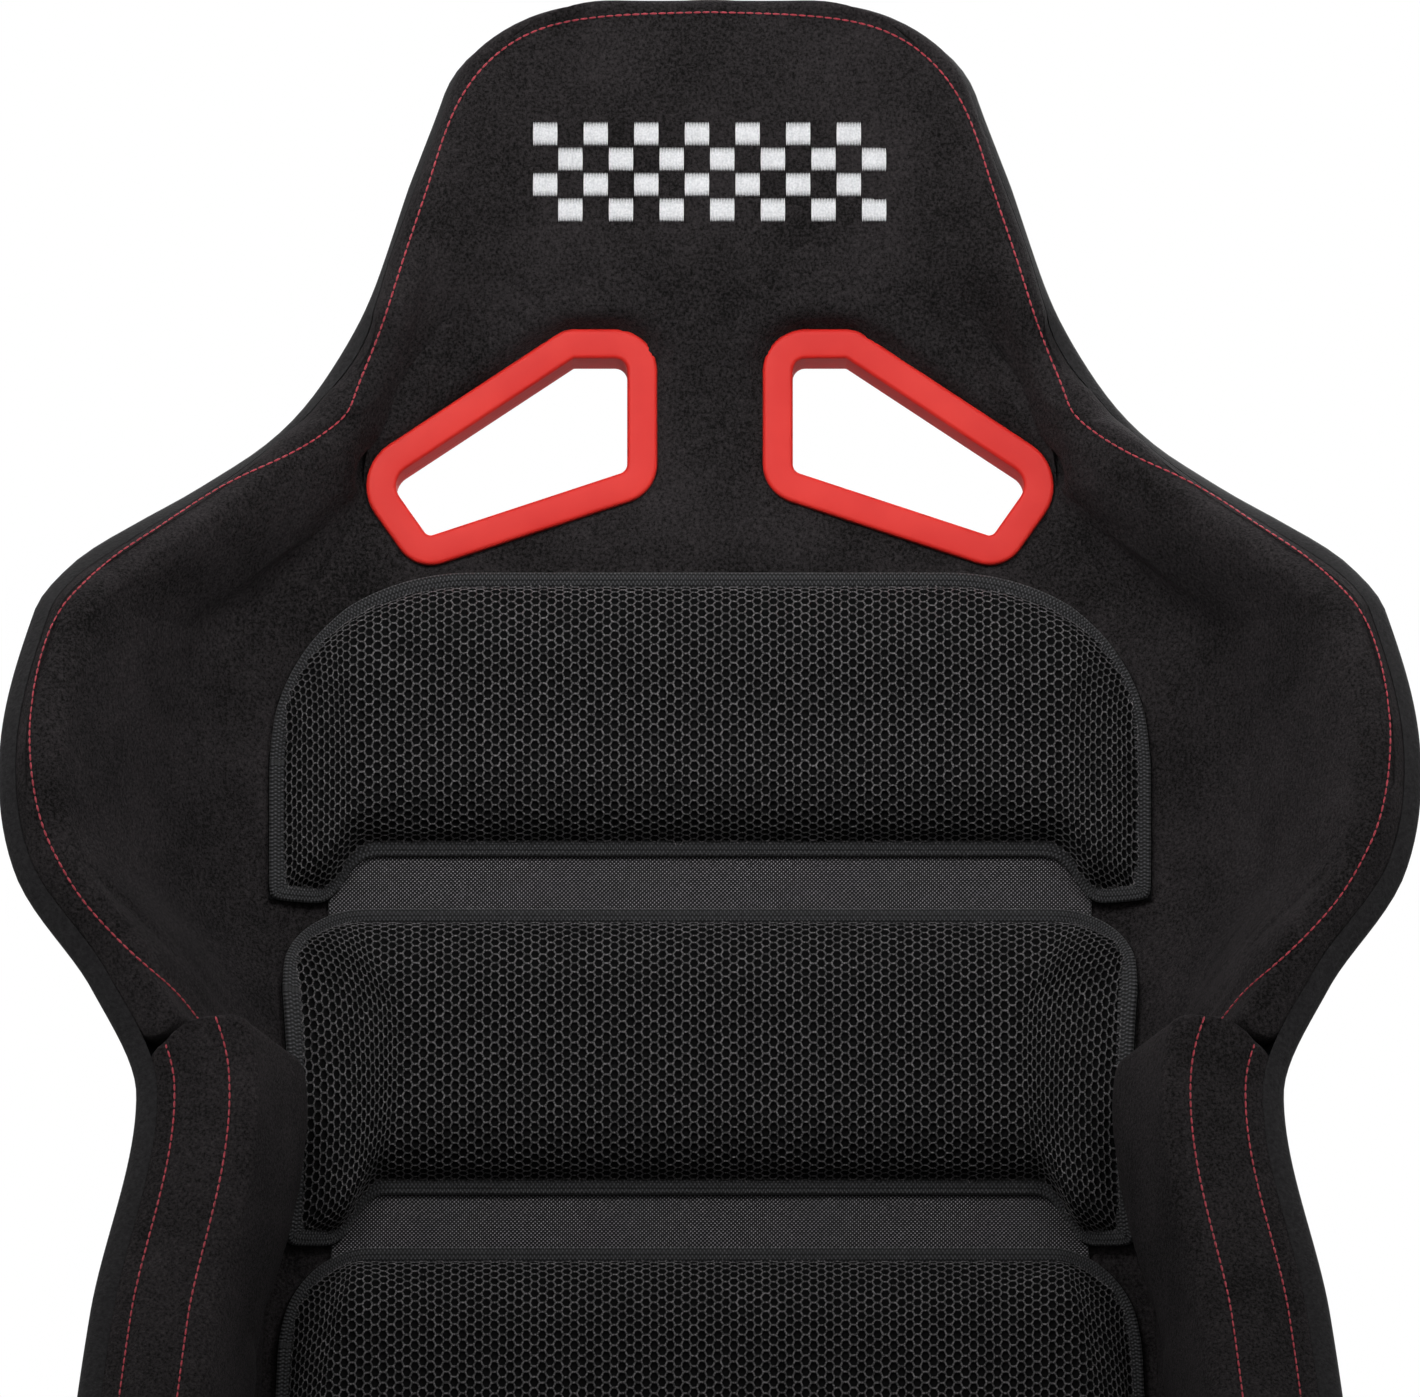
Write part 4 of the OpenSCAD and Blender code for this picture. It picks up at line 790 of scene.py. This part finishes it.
def bolster_foam(v):
    return BOLSTER_T * (0.55 + 0.45 * ease(0, 120, TOP - v))


def bolster_nose(v, a, front):
    """q and n round a bolster's edge, from its full thickness at a = 0 to the middle at a right angle."""
    half = (bolster_foam(v) - FIT_GAP) / 2
    mid = half + FIT_GAP
    rise = half * np.cos(a) ** 0.5
    return 3 + NOSE / 10 * np.sin(a) ** 0.75, mid + rise if front else mid - rise


for side, word in ((-1, "left"), (1, "right")):
    first = BOLSTER_TOP - END_R * np.sin(np.linspace(math.pi / 2, 0, 8))[:-1]
    last = SHELL_END + NOSE * np.sin(np.linspace(0, math.pi / 2, 6))[1:]
    vs = np.concatenate([first, np.linspace(BOLSTER_TOP, SHELL_END, 190), last])
    ts = np.concatenate([np.linspace(0, 1, 30), 1 + np.linspace(0, 1, 18)[1:]])
    V, T = np.meshgrid(vs, ts, indexing="ij")
    angle = np.minimum(np.clip(T - 1, 0, 1) * math.pi / 2, 1.566)
    e = bolster_edge(V)
    nose_q, nose_n = bolster_nose(V, angle, True)
    under_n = bolster_nose(V, angle, False)[1]
    thick = bolster_foam(V)
    Q = np.where(T < 1, mix(e, 3.0, np.clip(T, 0, 1) ** 0.9), nose_q)
    face_n = mix(centre_foam(V), thick, ease(2.7, 5.4, column(V, Q)))
    N = np.where(T < 1, face_n, nose_n)
    B = np.where(T < 1, FIT_GAP, under_n)
    mid = (np.where(T < 1, face_n, thick) + FIT_GAP) / 2
    pinch = turned(BOLSTER_TOP - V, END_R) * turned(V - SHELL_END, NOSE)
    mid = np.minimum(mid, np.maximum(N - 0.02, 0))
    N = mid + (N - mid) * np.where(N > mid, pinch, 1)
    B = mid - (mid - B) * np.where(mid > B, pinch, 1)
    N = N + soft_waves(V, Q, 0.3, 5) * ease(0.05, 0.4, T) * (T < 1) * pinch
    pulled = {}
    for seam, surface in ((SEAM_IN, N), (SEAM_OUT, B)):
        pulled[seam] = GROOVE * np.exp(-(((surface / thick - seam) * BOLSTER_T / GROOVE_W) ** 2)) * (T > 1)
    piece = closed_slab(f"side_bolster_{word}", laid(V, side * (Q - pulled[SEAM_IN] / 10), N),
                        laid(V, side * (Q - pulled[SEAM_OUT] / 10), B))
    free = (T > 0.08) & (pinch > 0.9)
    puff(piece, np.concatenate([(~free | (pulled[SEAM_IN] > 0.5)).ravel(),
                                (~free | (T < 1.25) | (pulled[SEAM_OUT] > 0.5)).ravel()]), 2.5)
    piece.data.materials.append(suede)
    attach(piece, "seat")
    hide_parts(f"bolster_{word}")
    v_line = np.linspace(BOLSTER_TOP - 7, SHELL_END - 6, 420)
    seams = []
    for seam in (SEAM_IN, SEAM_OUT):
        n_line = seam * bolster_foam(v_line)
        near, far = laid(v_line, side * 3.5, n_line), laid(v_line, side * 5.5, n_line)
        seams.append(press_on(piece, near, unit(near - far), 20, 0.12))
    sew(f"topstitch_bolster_{word}", seams, red_thread, "red_plastic")

# ---- Woven back and base panels ----
# Two panels of dark grey woven nylon, 2 mm thick, to which the mesh pads are sewn. Strips of hook tape
# hold them to the foam, so that the cushions come off.
PADS_V, PITCH, PAD_H, PAD_LEG, PAD_X, TOP_PAD_X, PAD_T = 232.5, 138.5, 117, 20, 178, 181, 24
PANEL_N, PANEL_T, PANEL_X = 2 * FIT_GAP + 1, 2, 153
SEAT_TOP = TOP - HIP_START + 22


def cloth_waves(tree, across, along):
    """Two sines over a cloth's own measure, which repeat every so many mm across it and along it."""
    uv = add(tree, "ShaderNodeUVMap", uv_map="cloth").outputs[0]
    split = add(tree, "ShaderNodeSeparateXYZ", {0: uv}).outputs
    return [math_node(tree, "SINE", math_node(tree, "MULTIPLY", split[axis], 2 * math.pi / period * 1000))
            for axis, period in enumerate((across, along))]


nylon, tree, shader, place = finish("woven_nylon", 0.62, Specular_IOR_Level=0.35, Sheen_Weight=0.1)
# A plain weave of dark grey filament yarn, with a painted highlight where a thread rises over its neighbours
# and painted shade between threads
THREAD = 0.8  # mm between threads, drawn coarser than the real 0.5 so that the weave shows
warp, weft = cloth_waves(tree, 2 * THREAD, 2 * THREAD)
weave = math_node(tree, "MULTIPLY", warp, weft)
two_tone(tree, shader, weave, "#0d0c0d", "#989499", 0.35, 0.75)
relief(tree, shader, weave, 0.0004, strength=0.8)


def give_uv(obj, measure):
    """Writes a UV map from the cloth's own measure at each vertex, in millimetres."""
    index = np.zeros(len(obj.data.loops), np.int32)
    obj.data.loops.foreach_get("vertex_index", index)
    layer = obj.data.uv_layers.new(name="cloth")
    layer.data.foreach_set("uv", (measure * MM)[index].astype(np.float32).ravel())


def flat_measure(obj):
    """Across the seat, and along the profile, at each vertex."""
    co = np.array([v.co for v in obj.data.vertices]) / MM
    return np.stack([co[:, 0], np.interp(co[:, 2] - 0.3 * co[:, 1], profile_z - 0.3 * profile_y, arc)], -1)


PANELS = (("back_panel_cloth", "back_cushion_panel", PADS_V + 30, PADS_V + 3 * PITCH + PAD_H + 12),
          ("base_panel_cloth", "seat_cushion_panel", SEAT_TOP, SEAT_TOP + 2 * PITCH))
for name, node, v0, v1 in PANELS:
    V, X = np.meshgrid(np.linspace(v0, v1, 160), np.linspace(-PANEL_X, PANEL_X, 90), indexing="ij")
    Q = q_of(V, X)
    low = centre_foam(V) + PANEL_N
    sheet = closed_slab(name, laid(V, Q, low + PANEL_T + soft_waves(V, Q, 0.15, 21)), laid(V, Q, low))
    give_uv(sheet, flat_measure(sheet))
    sheet.data.materials.append(nylon)
    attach(sheet, "seat")
    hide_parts(node)

# ---- Mesh pads ----
# Pads of spacer foam under an open 3-D mesh, crowned by the foam inside. The mesh's yarn leaves
# six-sided holes in staggered columns, 3.15 mm apart, with a hole every 4.35 mm down a column, and
# the knit keeps this pitch over the crown.
TAPE_W = 7
PAD_N = PANEL_N + PANEL_T + SOFT_GAP + 0.35


def pad_top(x, half, corner):
    w = corner * 1.1
    d = np.maximum(0, x - (half - w)) / w
    return corner * (1 - np.sqrt(1 - np.minimum(1, d * d)))


def pad_low(x, half):
    return PAD_H + PAD_LEG * ease(half - 46, half - 24, x)


def pad_point(v0, half, corner, s, b):
    """v and x on a pad: s runs across from -1 to 1 and b down from 0 to 1."""
    x = half * s
    return v0 + mix(pad_top(np.abs(x), half, corner), pad_low(np.abs(x), half), b), x


def crown(v0, half, corner, v, x):
    """Height of a pad's crown above its taped edge, from the distance to the nearest edge."""
    d_side = half - np.abs(x)
    top = v - v0 - pad_top(np.abs(x), half, corner)
    low = v0 + pad_low(np.abs(x), half) - v

    def swell(d, run, rise=0.55):
        return np.sin(np.clip((d - TAPE_W + 1) / run, 0, 1) * math.pi / 2) ** rise

    return swell(d_side, 30) * swell(top, 24) * swell(low, 12)


def perforated_tree():
    """Turns a lattice of triangles into six-sided holes with a rounded web of yarn between them."""
    tree, start = start_tree("perforated_mesh", "Mesh", Lattice="Geometry", Opening=0.78, Round=0.0003,
                             Depth=0.0012, Yarn="Material", Lining="Material")
    cells = add(tree, "GeometryNodeDualMesh", {"Mesh": start["Lattice"]}).outputs[0]
    top, faces = cells, None
    for fall in ("Round", "Depth"):
        down = add(tree, "ShaderNodeMath", {0: start[fall], 1: -1.0}, operation="MULTIPLY").outputs[0]
        inputs = {"Mesh": top, "Offset Scale": down, "Individual": True}
        if faces is not None:
            inputs["Selection"] = faces
        sunk = add(tree, "GeometryNodeExtrudeMesh", inputs, mode="FACES")
        faces = sunk.outputs["Top"]
        top = add(tree, "GeometryNodeScaleElements", {"Geometry": sunk.outputs["Mesh"], "Selection": faces,
                                                      "Scale": start["Opening"]}).outputs[0]
    top = add(tree, "GeometryNodeSetShadeSmooth", {"Geometry": top}).outputs[0]
    yarn = add(tree, "GeometryNodeSetMaterial", {"Geometry": top, "Material": start["Yarn"]}).outputs[0]
    # The hole walls and bottoms take the lining's near-black, which is painted shade inside the holes as well
    # as the dark lining
    walls = sunk.outputs["Side"]
    deep = add(tree, "FunctionNodeBooleanMath", {0: faces, 1: walls}, operation="OR").outputs[0]
    lining_and_shade = add(tree, "GeometryNodeSetMaterial", {"Geometry": yarn, "Selection": deep,
                                                   "Material": start["Lining"]}).outputs[0]
    add(tree, "NodeGroupOutput", {"Mesh": lining_and_shade})
    return tree


perforated = perforated_tree()
# Knitted polyester yarn: black, with scattered grey flecks that are painted glints of light on the filaments
yarn, tree, shader, place = finish("mesh_yarn", 0.55, Specular_IOR_Level=0.4, Sheen_Weight=0.05)
two_tone(tree, shader, blotches(tree, place, 1500, 2, 0.6), "#161516", "#7d797b", 0.44, 0.68)
relief(tree, shader, blotches(tree, place, 1800, 2), 0.0005, strength=1.0)
# Lining and hole walls: a flat near-black, partly the dark lining under the mesh and partly painted shade
# inside the holes, that makes the holes read as deep
lining_and_shade = mottled("mesh_lining_and_shade", 0.9, 900, "#060606", "#0d0d0e", detail=2, Specular_IOR_Level=0.1)
# Woven binding tape: a ribbed black band, its ribs drawn at 1.6 by 2.4 mm so that they show, with a painted
# highlight on the ribs and painted shade between them
tape, tree, shader, place = finish("binding_tape", 0.66, Specular_IOR_Level=0.35, Sheen_Weight=0.1)
ribs, cords = cloth_waves(tree, 1.6, 2.4)
two_tone(tree, shader, math_node(tree, "MULTIPLY", ribs, cords), "#101011", "#515154", 0.2, 0.8)
relief(tree, shader, math_node(tree, "ADD", ribs, cords), 0.0003, strength=0.8)

HOLE_X, HOLE_V, KNIT_UNEVEN = 3.15, 4.35, 0.13
CROWN_H = PAD_T - 3.4
CORE_ROWS, CORE_COLS = 40, 80
BODY_SINK = 3.0  # mm from the mesh's face down to the core that fills it


def along_crown(places, height, middle):
    """Lengths from the middle along a crowned line, which the knit keeps even, and not along its base."""
    along = np.cumsum(np.hypot(np.gradient(places), np.gradient(CROWN_H * height)))
    return along - np.interp(middle, places, along)


def knit(v0, half, corner):
    """The places v and x of the knit's crossings, and the triangles between them."""
    xs = np.linspace(-half - 20, half + 20, 400)
    vs = np.linspace(v0 - 10, v0 + PAD_H + PAD_LEG + 10, 300)
    middle_v = v0 + PAD_H / 2
    along = along_crown(xs, crown(v0, half, corner, middle_v + 0 * xs, xs), 0)
    count = int(along[-1] / HOLE_X)
    columns, per_column = 2 * count + 1, 2 * int((PAD_H / 2 + PAD_LEG + 30) / HOLE_V)
    places, faces = [], []
    for i, x in enumerate(np.interp(np.arange(-count, count + 1) * HOLE_X, along, xs)):
        down = along_crown(vs, crown(v0, half, corner, vs, x + 0 * vs), middle_v)
        steps = (np.arange(per_column) - per_column // 2 + 0.5 * (i % 2)) * HOLE_V
        places += [(v, x) for v in np.interp(steps, down, vs)]
    for i in range(columns - 1):
        a, b = i * per_column, (i + 1) * per_column
        for k in range(per_column - 1):
            if i % 2 == 0:
                faces += [[a + k, a + k + 1, b + k], [a + k + 1, b + k + 1, b + k]]
            else:
                faces += [[a + k, b + k + 1, b + k], [a + k, a + k + 1, b + k + 1]]
    places = np.array(places)
    places += np.random.default_rng(columns).normal(0, KNIT_UNEVEN, places.shape)
    return places[:, 0], places[:, 1], faces


def pad_core(name, v0, half, corner):
    """The foam body under the mesh, and how far its grid of points moved when it was blown up."""
    b, s = np.meshgrid(np.linspace(0, 1, CORE_ROWS), np.linspace(-1, 1, CORE_COLS), indexing="ij")
    v, x = pad_point(v0, half, corner, s, b)
    low = centre_foam(v) + PAD_N
    swollen = crown(v0, half, corner, v, x)
    under = low + np.maximum(0.4, mix(1.0, PAD_T - 1.2, swollen) - BODY_SINK)
    core = closed_slab(name + "_core", laid(v, q_of(v, x), under), laid(v, q_of(v, x), low))
    core.data.materials.append(lining_and_shade)
    moved = puff(core, np.concatenate([(swollen < 0.05).ravel(), np.ones(swollen.size, bool)]), 2.5)
    return core, moved[:swollen.size].reshape(CORE_ROWS, CORE_COLS, 3)


def pad_mesh(name, v0, half, corner, moved):
    """The crowned mesh, which follows the core that swells below it."""
    V, X, faces = knit(v0, half, corner)
    side = np.abs(X)
    top_v, low_v = v0 + pad_top(side, half, corner), v0 + pad_low(side, half)
    keep = np.minimum(np.minimum(half - side, V - v0 - pad_top(side, half, corner)), low_v - V) > 0.6
    at_b = np.clip((V - top_v) / (low_v - top_v), 0, 1) * (CORE_ROWS - 1)
    at_s = np.clip(X / half * 0.5 + 0.5, 0, 1) * (CORE_COLS - 1)
    i, j = np.minimum(at_b.astype(int), CORE_ROWS - 2), np.minimum(at_s.astype(int), CORE_COLS - 2)
    fb, fs = (at_b - i)[:, None], (at_s - j)[:, None]
    swell = mix(mix(moved[i, j], moved[i, j + 1], fs), mix(moved[i + 1, j], moved[i + 1, j + 1], fs), fb)
    n = centre_foam(V) + PAD_N + 2.2 + CROWN_H * crown(v0, half, corner, V, X)
    top = new_mesh(name, laid(V, q_of(V, X), n) + swell, [f for f in faces if keep[f].all()])
    bm = bmesh.new()
    bm.from_mesh(top.data)
    bmesh.ops.delete(bm, geom=[w for w in bm.verts if not w.link_faces], context="VERTS")
    bm.to_mesh(top.data)
    bm.free()
    run_nodes(top, perforated, Opening=0.82, Round=0.3 * MM, Depth=1.2 * MM, Yarn=yarn, Lining=lining_and_shade)
    return top


def evened(loop, passes):
    """Smooths values round a closed loop."""
    for _ in range(passes):
        loop = (np.roll(loop, 1, 0) + 2 * loop + np.roll(loop, -1, 0)) / 4
    return loop


# Inward from a pad's edge and up from the panel, round the section of the folded tape
TAPE_SECTION = [(0.35, 0.3), (0.0, 1.3), (0.25, 2.4), (0.9, 3.0), (0.5 * TAPE_W, 3.3), (TAPE_W - 0.6, 3.2),
                (TAPE_W, 2.6), (TAPE_W - 0.3, 1.6), (0.5 * TAPE_W, 0.3)]


def pad_binding(name, v0, half, corner):
    """The tape that binds a pad's edge, wider along the top and the bottom than down the sides."""
    edges = ((np.linspace(-1, 1, 160), np.zeros(160)), (np.ones(50), np.linspace(0, 1, 50)),
             (np.linspace(1, -1, 160), np.ones(160)), (-np.ones(50), np.linspace(1, 0, 50)))
    outline = np.concatenate([np.stack(pad_point(v0, half, corner, *edge), -1)[:-1] for edge in edges])
    outline = evened(resample(np.concatenate([outline, outline[:1]]), 2.5)[:-1], 3)
    along = unit(np.roll(outline, -1, 0) - np.roll(outline, 1, 0))
    inward = np.stack([along[:, 1], -along[:, 0]], -1)
    if ((outline.mean(0) - outline) * inward).sum() < 0:
        inward = -inward
    width = evened(np.where(np.abs(inward[:, 1]) > 0.7, 9.0, 6.5), 8)
    loops, measure = [], []
    for d, h in TAPE_SECTION:
        v, x = (outline + inward * (d / TAPE_W * width)[:, None]).T
        loops.append(laid(v, q_of(v, x), centre_foam(v) + PAD_N + h))
        measure.append(np.stack([length_along(outline), np.full(len(outline), d)], -1))
    band = new_mesh(name + "_binding", np.concatenate(loops), tube_faces(len(loops), len(outline)))
    give_uv(band, np.concatenate(measure))
    outward(band)
    band.data.materials.append(tape)
    return band


def mesh_pad(name, node, *shape):
    """One pad in three pieces: its mesh, the foam core that stands for the solid, and its tape."""
    core, moved = pad_core(name, *shape)
    for piece in (pad_mesh(name, *shape, moved), core, pad_binding(name, *shape)):
        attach(piece, "seat")
    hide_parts(node)


for k in range(4):
    half, corner = (TOP_PAD_X, 78) if k == 0 else (PAD_X, 38)
    mesh_pad(f"back_mesh_{k + 1}", f"back_mesh_pad_{k + 1}", PADS_V + k * PITCH, half, corner)
for k in range(2):
    mesh_pad(f"base_mesh_{k + 1}", f"seat_mesh_pad_{k + 1}", SEAT_TOP + 8 + k * PITCH, PAD_X, 38)

# ---- Rear cover ----
# A fitted cover of plain backing cloth behind the shell. It turns round the shell's edge and is sewn
# to the front upholstery there. It has holes for the harness bezels and the side spacers.
# Brushed backing cloth: a dull black with a soft, uneven fleck
backing, tree, shader, place = finish("backing_cloth", 0.9, Specular_IOR_Level=0.15, Sheen_Weight=0.06)
two_tone(tree, shader, blotches(tree, place, 620, 4, 0.7), "#171617", "#2e2d2e")
relief(tree, shader, blotches(tree, place, 900, 3), 0.0004, strength=0.8)
# How far past the shell's edge, and how far in front of its face, for the outside and for the inside
TURN_OUT = np.array([(0, -SKIN), (1.6, -7.4), (3.2, -6.7), (4.6, -5.4), (5.4, -3.4), (5.7, -1), (5.6, 1.2),
                     (5.3, 3.2)])
TURN_IN = np.array([(0, -5.1), (1.2, -5.1), (2.3, -4.8), (3.2, -4.1), (3.9, -2.9), (4.3, -1), (4.3, 0.9),
                    (4.1, 2.0)])


def cover_skin(turn, seam_depth=0.0):
    """Points of one skin of the cover, from the top to the front edge of the base."""
    steps = len(turn) - 1
    vs = np.concatenate([SHELL_TOP - turn[:0:-1, 0], np.linspace(SHELL_TOP, SHELL_END, 250),
                         SHELL_END + turn[1:, 0]])
    qs = places_across(9, 18, 14, turn[1:, 0] / 10)
    past = np.maximum.outer(*(np.abs(np.arange(len(at)) - (len(at) - 1) / 2) - (len(at) - 1) / 2 + steps
                              for at in (vs, qs)))
    n = turn[np.clip(past, 0, steps).astype(int), 1]
    V, Q = np.meshgrid(vs, qs, indexing="ij")
    if seam_depth:
        x = laid(V, Q, n)[..., 0]
        n = n + seam_depth * np.exp(-((x / 1.6) ** 2)) - 0.3 * np.exp(-(((np.abs(x) - 5) / 3) ** 2))
    return relaxed(laid(V, Q, n), V, passes=20)


def bolt_centres():
    """y and z of the side bolts, from the bolts themselves."""
    spots = np.array([v.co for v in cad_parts["side_bolts"].data.vertices]) / MM
    spots = spots[spots[:, 0] > 0]
    split = (spots[:, 1].min() + spots[:, 1].max()) / 2
    return [((part[:, 1].min() + part[:, 1].max()) / 2, (part[:, 2].min() + part[:, 2].max()) / 2)
            for part in (spots[spots[:, 1] < split], spots[spots[:, 1] >= split])]


SPACER_HOLE_R, FAR = 12.4, 290
rear_cover = closed_slab("rear_backing_cover", cover_skin(TURN_IN), cover_skin(TURN_OUT, 0.7))
cut_openings(rear_cover, COVER_INSET)
ring = np.linspace(0, 2 * math.pi, 33)[:-1]
for y, z in bolt_centres():
    hole_y, hole_z = y + SPACER_HOLE_R * np.cos(ring), z + SPACER_HOLE_R * np.sin(ring)
    cut_through(rear_cover, [np.stack([0 * ring + x, hole_y, hole_z], -1) for x in (-FAR, FAR)])
rear_cover.data.shade_smooth()
rear_cover.data.set_sharp_from_angle(angle=math.radians(60))
rear_cover.data.materials.append(backing)
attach(rear_cover, "seat")
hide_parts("rear_cover")
# Bonded polyester thread: black with a slight shine
black_thread = mottled("black_polyester_thread", 0.6, 1500, "#0c0c0d", "#242425", detail=1, Sheen_Weight=0.1)
seam_v = np.linspace(8, SHELL_END - 8, 380)
seam_lines = []
for x in (-4.5, 4.5):
    near = laid(seam_v, q_of(seam_v, x + 0 * seam_v), -SKIN)
    behind = laid(seam_v, q_of(seam_v, x + 0 * seam_v), -SKIN - 10)
    seam_lines.append(press_on(rear_cover, near, unit(near - behind), 12, 0.1))
sew("cover_seam_stitches", seam_lines, black_thread, "cover_cloth")

# ---- Hardware ----
# Laser-cut brackets and folded lower rails with a powder coat, rolled upper rails that run on plastic
# shoes, zinc-plated screws, bolts, nuts and pins, a bent release bar with a foam grip, and the strips of
# hook tape that hold the cushions. The solids are shown as they are, each with its finish.

# Powder coat: a satin black with the fine orange peel of baked powder
black_steel = mottled("black_powder_coat", 0.45, 50, "#1c1d1f", "#242527", (1200, 2, 0.00008, 0.6))
# Zinc plating: a bright, slightly blue-grey metal with soft highlights
zinc = mottled("zinc_plated_steel", 0.34, 90, "#9a9c9e", "#b4b6b8", (700, 2, 0.00004, 0.5), Metallic=1.0)
# Phosphated steel: a dull, mid-grey metal
rail_steel = mottled("phosphated_steel", 0.5, 70, "#5e6062", "#74767a", Metallic=0.9)
# Natural acetal: an off-white, slightly waxy plastic
acetal = mottled("natural_acetal", 0.42, 50, "#dcd8cc", "#e6e2d8")
# Closed-cell foam: matt black with a fine grain
grip_foam = mottled("grip_foam", 0.85, 400, "#161617", "#222223", (900, 3, 0.0003), Specular_IOR_Level=0.25)
# Hook tape: a dense black bristle that reads as a flat, dull strip
hook = mottled("hook_tape", 0.85, 800, "#121213", "#1d1d1e")
for material, nodes in (
        (zinc, "bezel_screws side_inserts side_bolts bracket_bolts bracket_nuts pivot_pins lock_springs"),
        (black_steel, "side_spacers side_bracket_left side_bracket_right lower_rail_left lower_rail_right"),
        (black_steel, "release_bar"),
        (rail_steel, "upper_rail_left upper_rail_right lock_arms"),
        (acetal, "glide_shoes_left glide_shoes_right"), (grip_foam, "bar_grip"), (hook, "hook_strips")):
    for node in nodes.split():
        coat(node, material)

# ---- Room, lamps and camera ----
# A pale floor that fades into a white room, with two narrow lamps and a wide one at the front, one above,
# one behind and one at each side. Floor and room look pale to the camera and stay dim to the seat.
floor_material, tree, shader, place = finish("studio_floor", 0.9)
seen_straight = tree.nodes.new("ShaderNodeLightPath").outputs["Is Camera Ray"]
shade = add(tree, "ShaderNodeMix", {0: seen_straight, 6: (0.4, 0.4, 0.4, 1), 7: (0.9, 0.9, 0.9, 1)},
            data_type="RGBA")
tree.links.new(shade.outputs[2], shader.inputs["Base Color"])
shader.inputs["Emission Color"].default_value = (1, 1, 1, 1)
far = add(tree, "ShaderNodeVectorMath", {0: place}, operation="LENGTH").outputs["Value"]
fade = add(tree, "ShaderNodeMapRange", {"Value": far, "From Min": 0.9, "From Max": 2.8, "To Min": 0.45,
                                        "To Max": 1.0}, interpolation_type="SMOOTHSTEP").outputs[0]
tree.links.new(math_node(tree, "MULTIPLY", seen_straight, fade), shader.inputs["Emission Strength"])
FLOOR = 4000
corners = [[x * FLOOR, y * FLOOR, 0] for x, y in ((-1, -1), (1, -1), (1, 1), (-1, 1))]
floor = new_mesh("floor", corners, [[0, 1, 2, 3]])
floor.data.materials.append(floor_material)


def lamp(name, place_m, aim_m, size, power, spread=180):
    data = bpy.data.lights.new(name, "AREA")
    data.energy, data.size, data.shape, data.spread = power, size, "SQUARE", math.radians(spread)
    obj = bpy.data.objects.new(name, data)
    obj.location = place_m
    obj.rotation_euler = (Vector(aim_m) - Vector(place_m)).to_track_quat("-Z", "Y").to_euler()
    scene.collection.objects.link(obj)


AIM, HEAD_AIM, NARROW = (0, 0.25, 0.7), (0, 0.3, 0.75), 54
lamp("key_lamp", (-0.35, -0.75, 1.3), HEAD_AIM, 0.5, 0.95, NARROW)
lamp("fill_lamp", (0.45, -0.75, 1.25), HEAD_AIM, 0.5, 0.65, NARROW)
lamp("front_lamp", (0, -2.4, 0.9), AIM, 1.0, 5)
lamp("top_lamp", (0, 0.5, 2.3), AIM, 1.0, 10)
lamp("back_lamp", (0.6, 2.4, 1.5), AIM, 1.4, 36)
lamp("left_lamp", (-2.6, 0.4, 1.2), AIM, 1.0, 16)
lamp("right_lamp", (2.6, 0.4, 1.2), AIM, 1.0, 16)
world = bpy.data.worlds.new("studio")
world.use_nodes = True
tree = world.node_tree
tree.nodes.clear()
ray = tree.nodes.new("ShaderNodeLightPath").outputs
seen_straight = math_node(tree, "MULTIPLY", ray["Is Camera Ray"], 0.9)
mirrored = math_node(tree, "MULTIPLY", ray["Is Glossy Ray"], 0.3)
strength = math_node(tree, "ADD", math_node(tree, "ADD", seen_straight, mirrored), 0.1)
sky = add(tree, "ShaderNodeBackground", {"Color": (1, 1, 1, 1), "Strength": strength}).outputs[0]
tree.links.new(sky, tree.nodes.new("ShaderNodeOutputWorld").inputs[0])
scene.world = world
scene.view_settings.view_transform = "Standard"

VIEW_W, SENSOR = 1420 * PX, 36
camera_data = bpy.data.cameras.new("camera")
camera_data.sensor_width = SENSOR
camera_data.lens = SENSOR * (PLANE_Y - EYE[1]) / VIEW_W
camera_data.clip_end = 50
camera = bpy.data.objects.new("camera", camera_data)
camera.location = EYE * MM
camera.rotation_euler = (math.pi / 2, 0, 0)
scene.collection.objects.link(camera)
scene.camera = camera
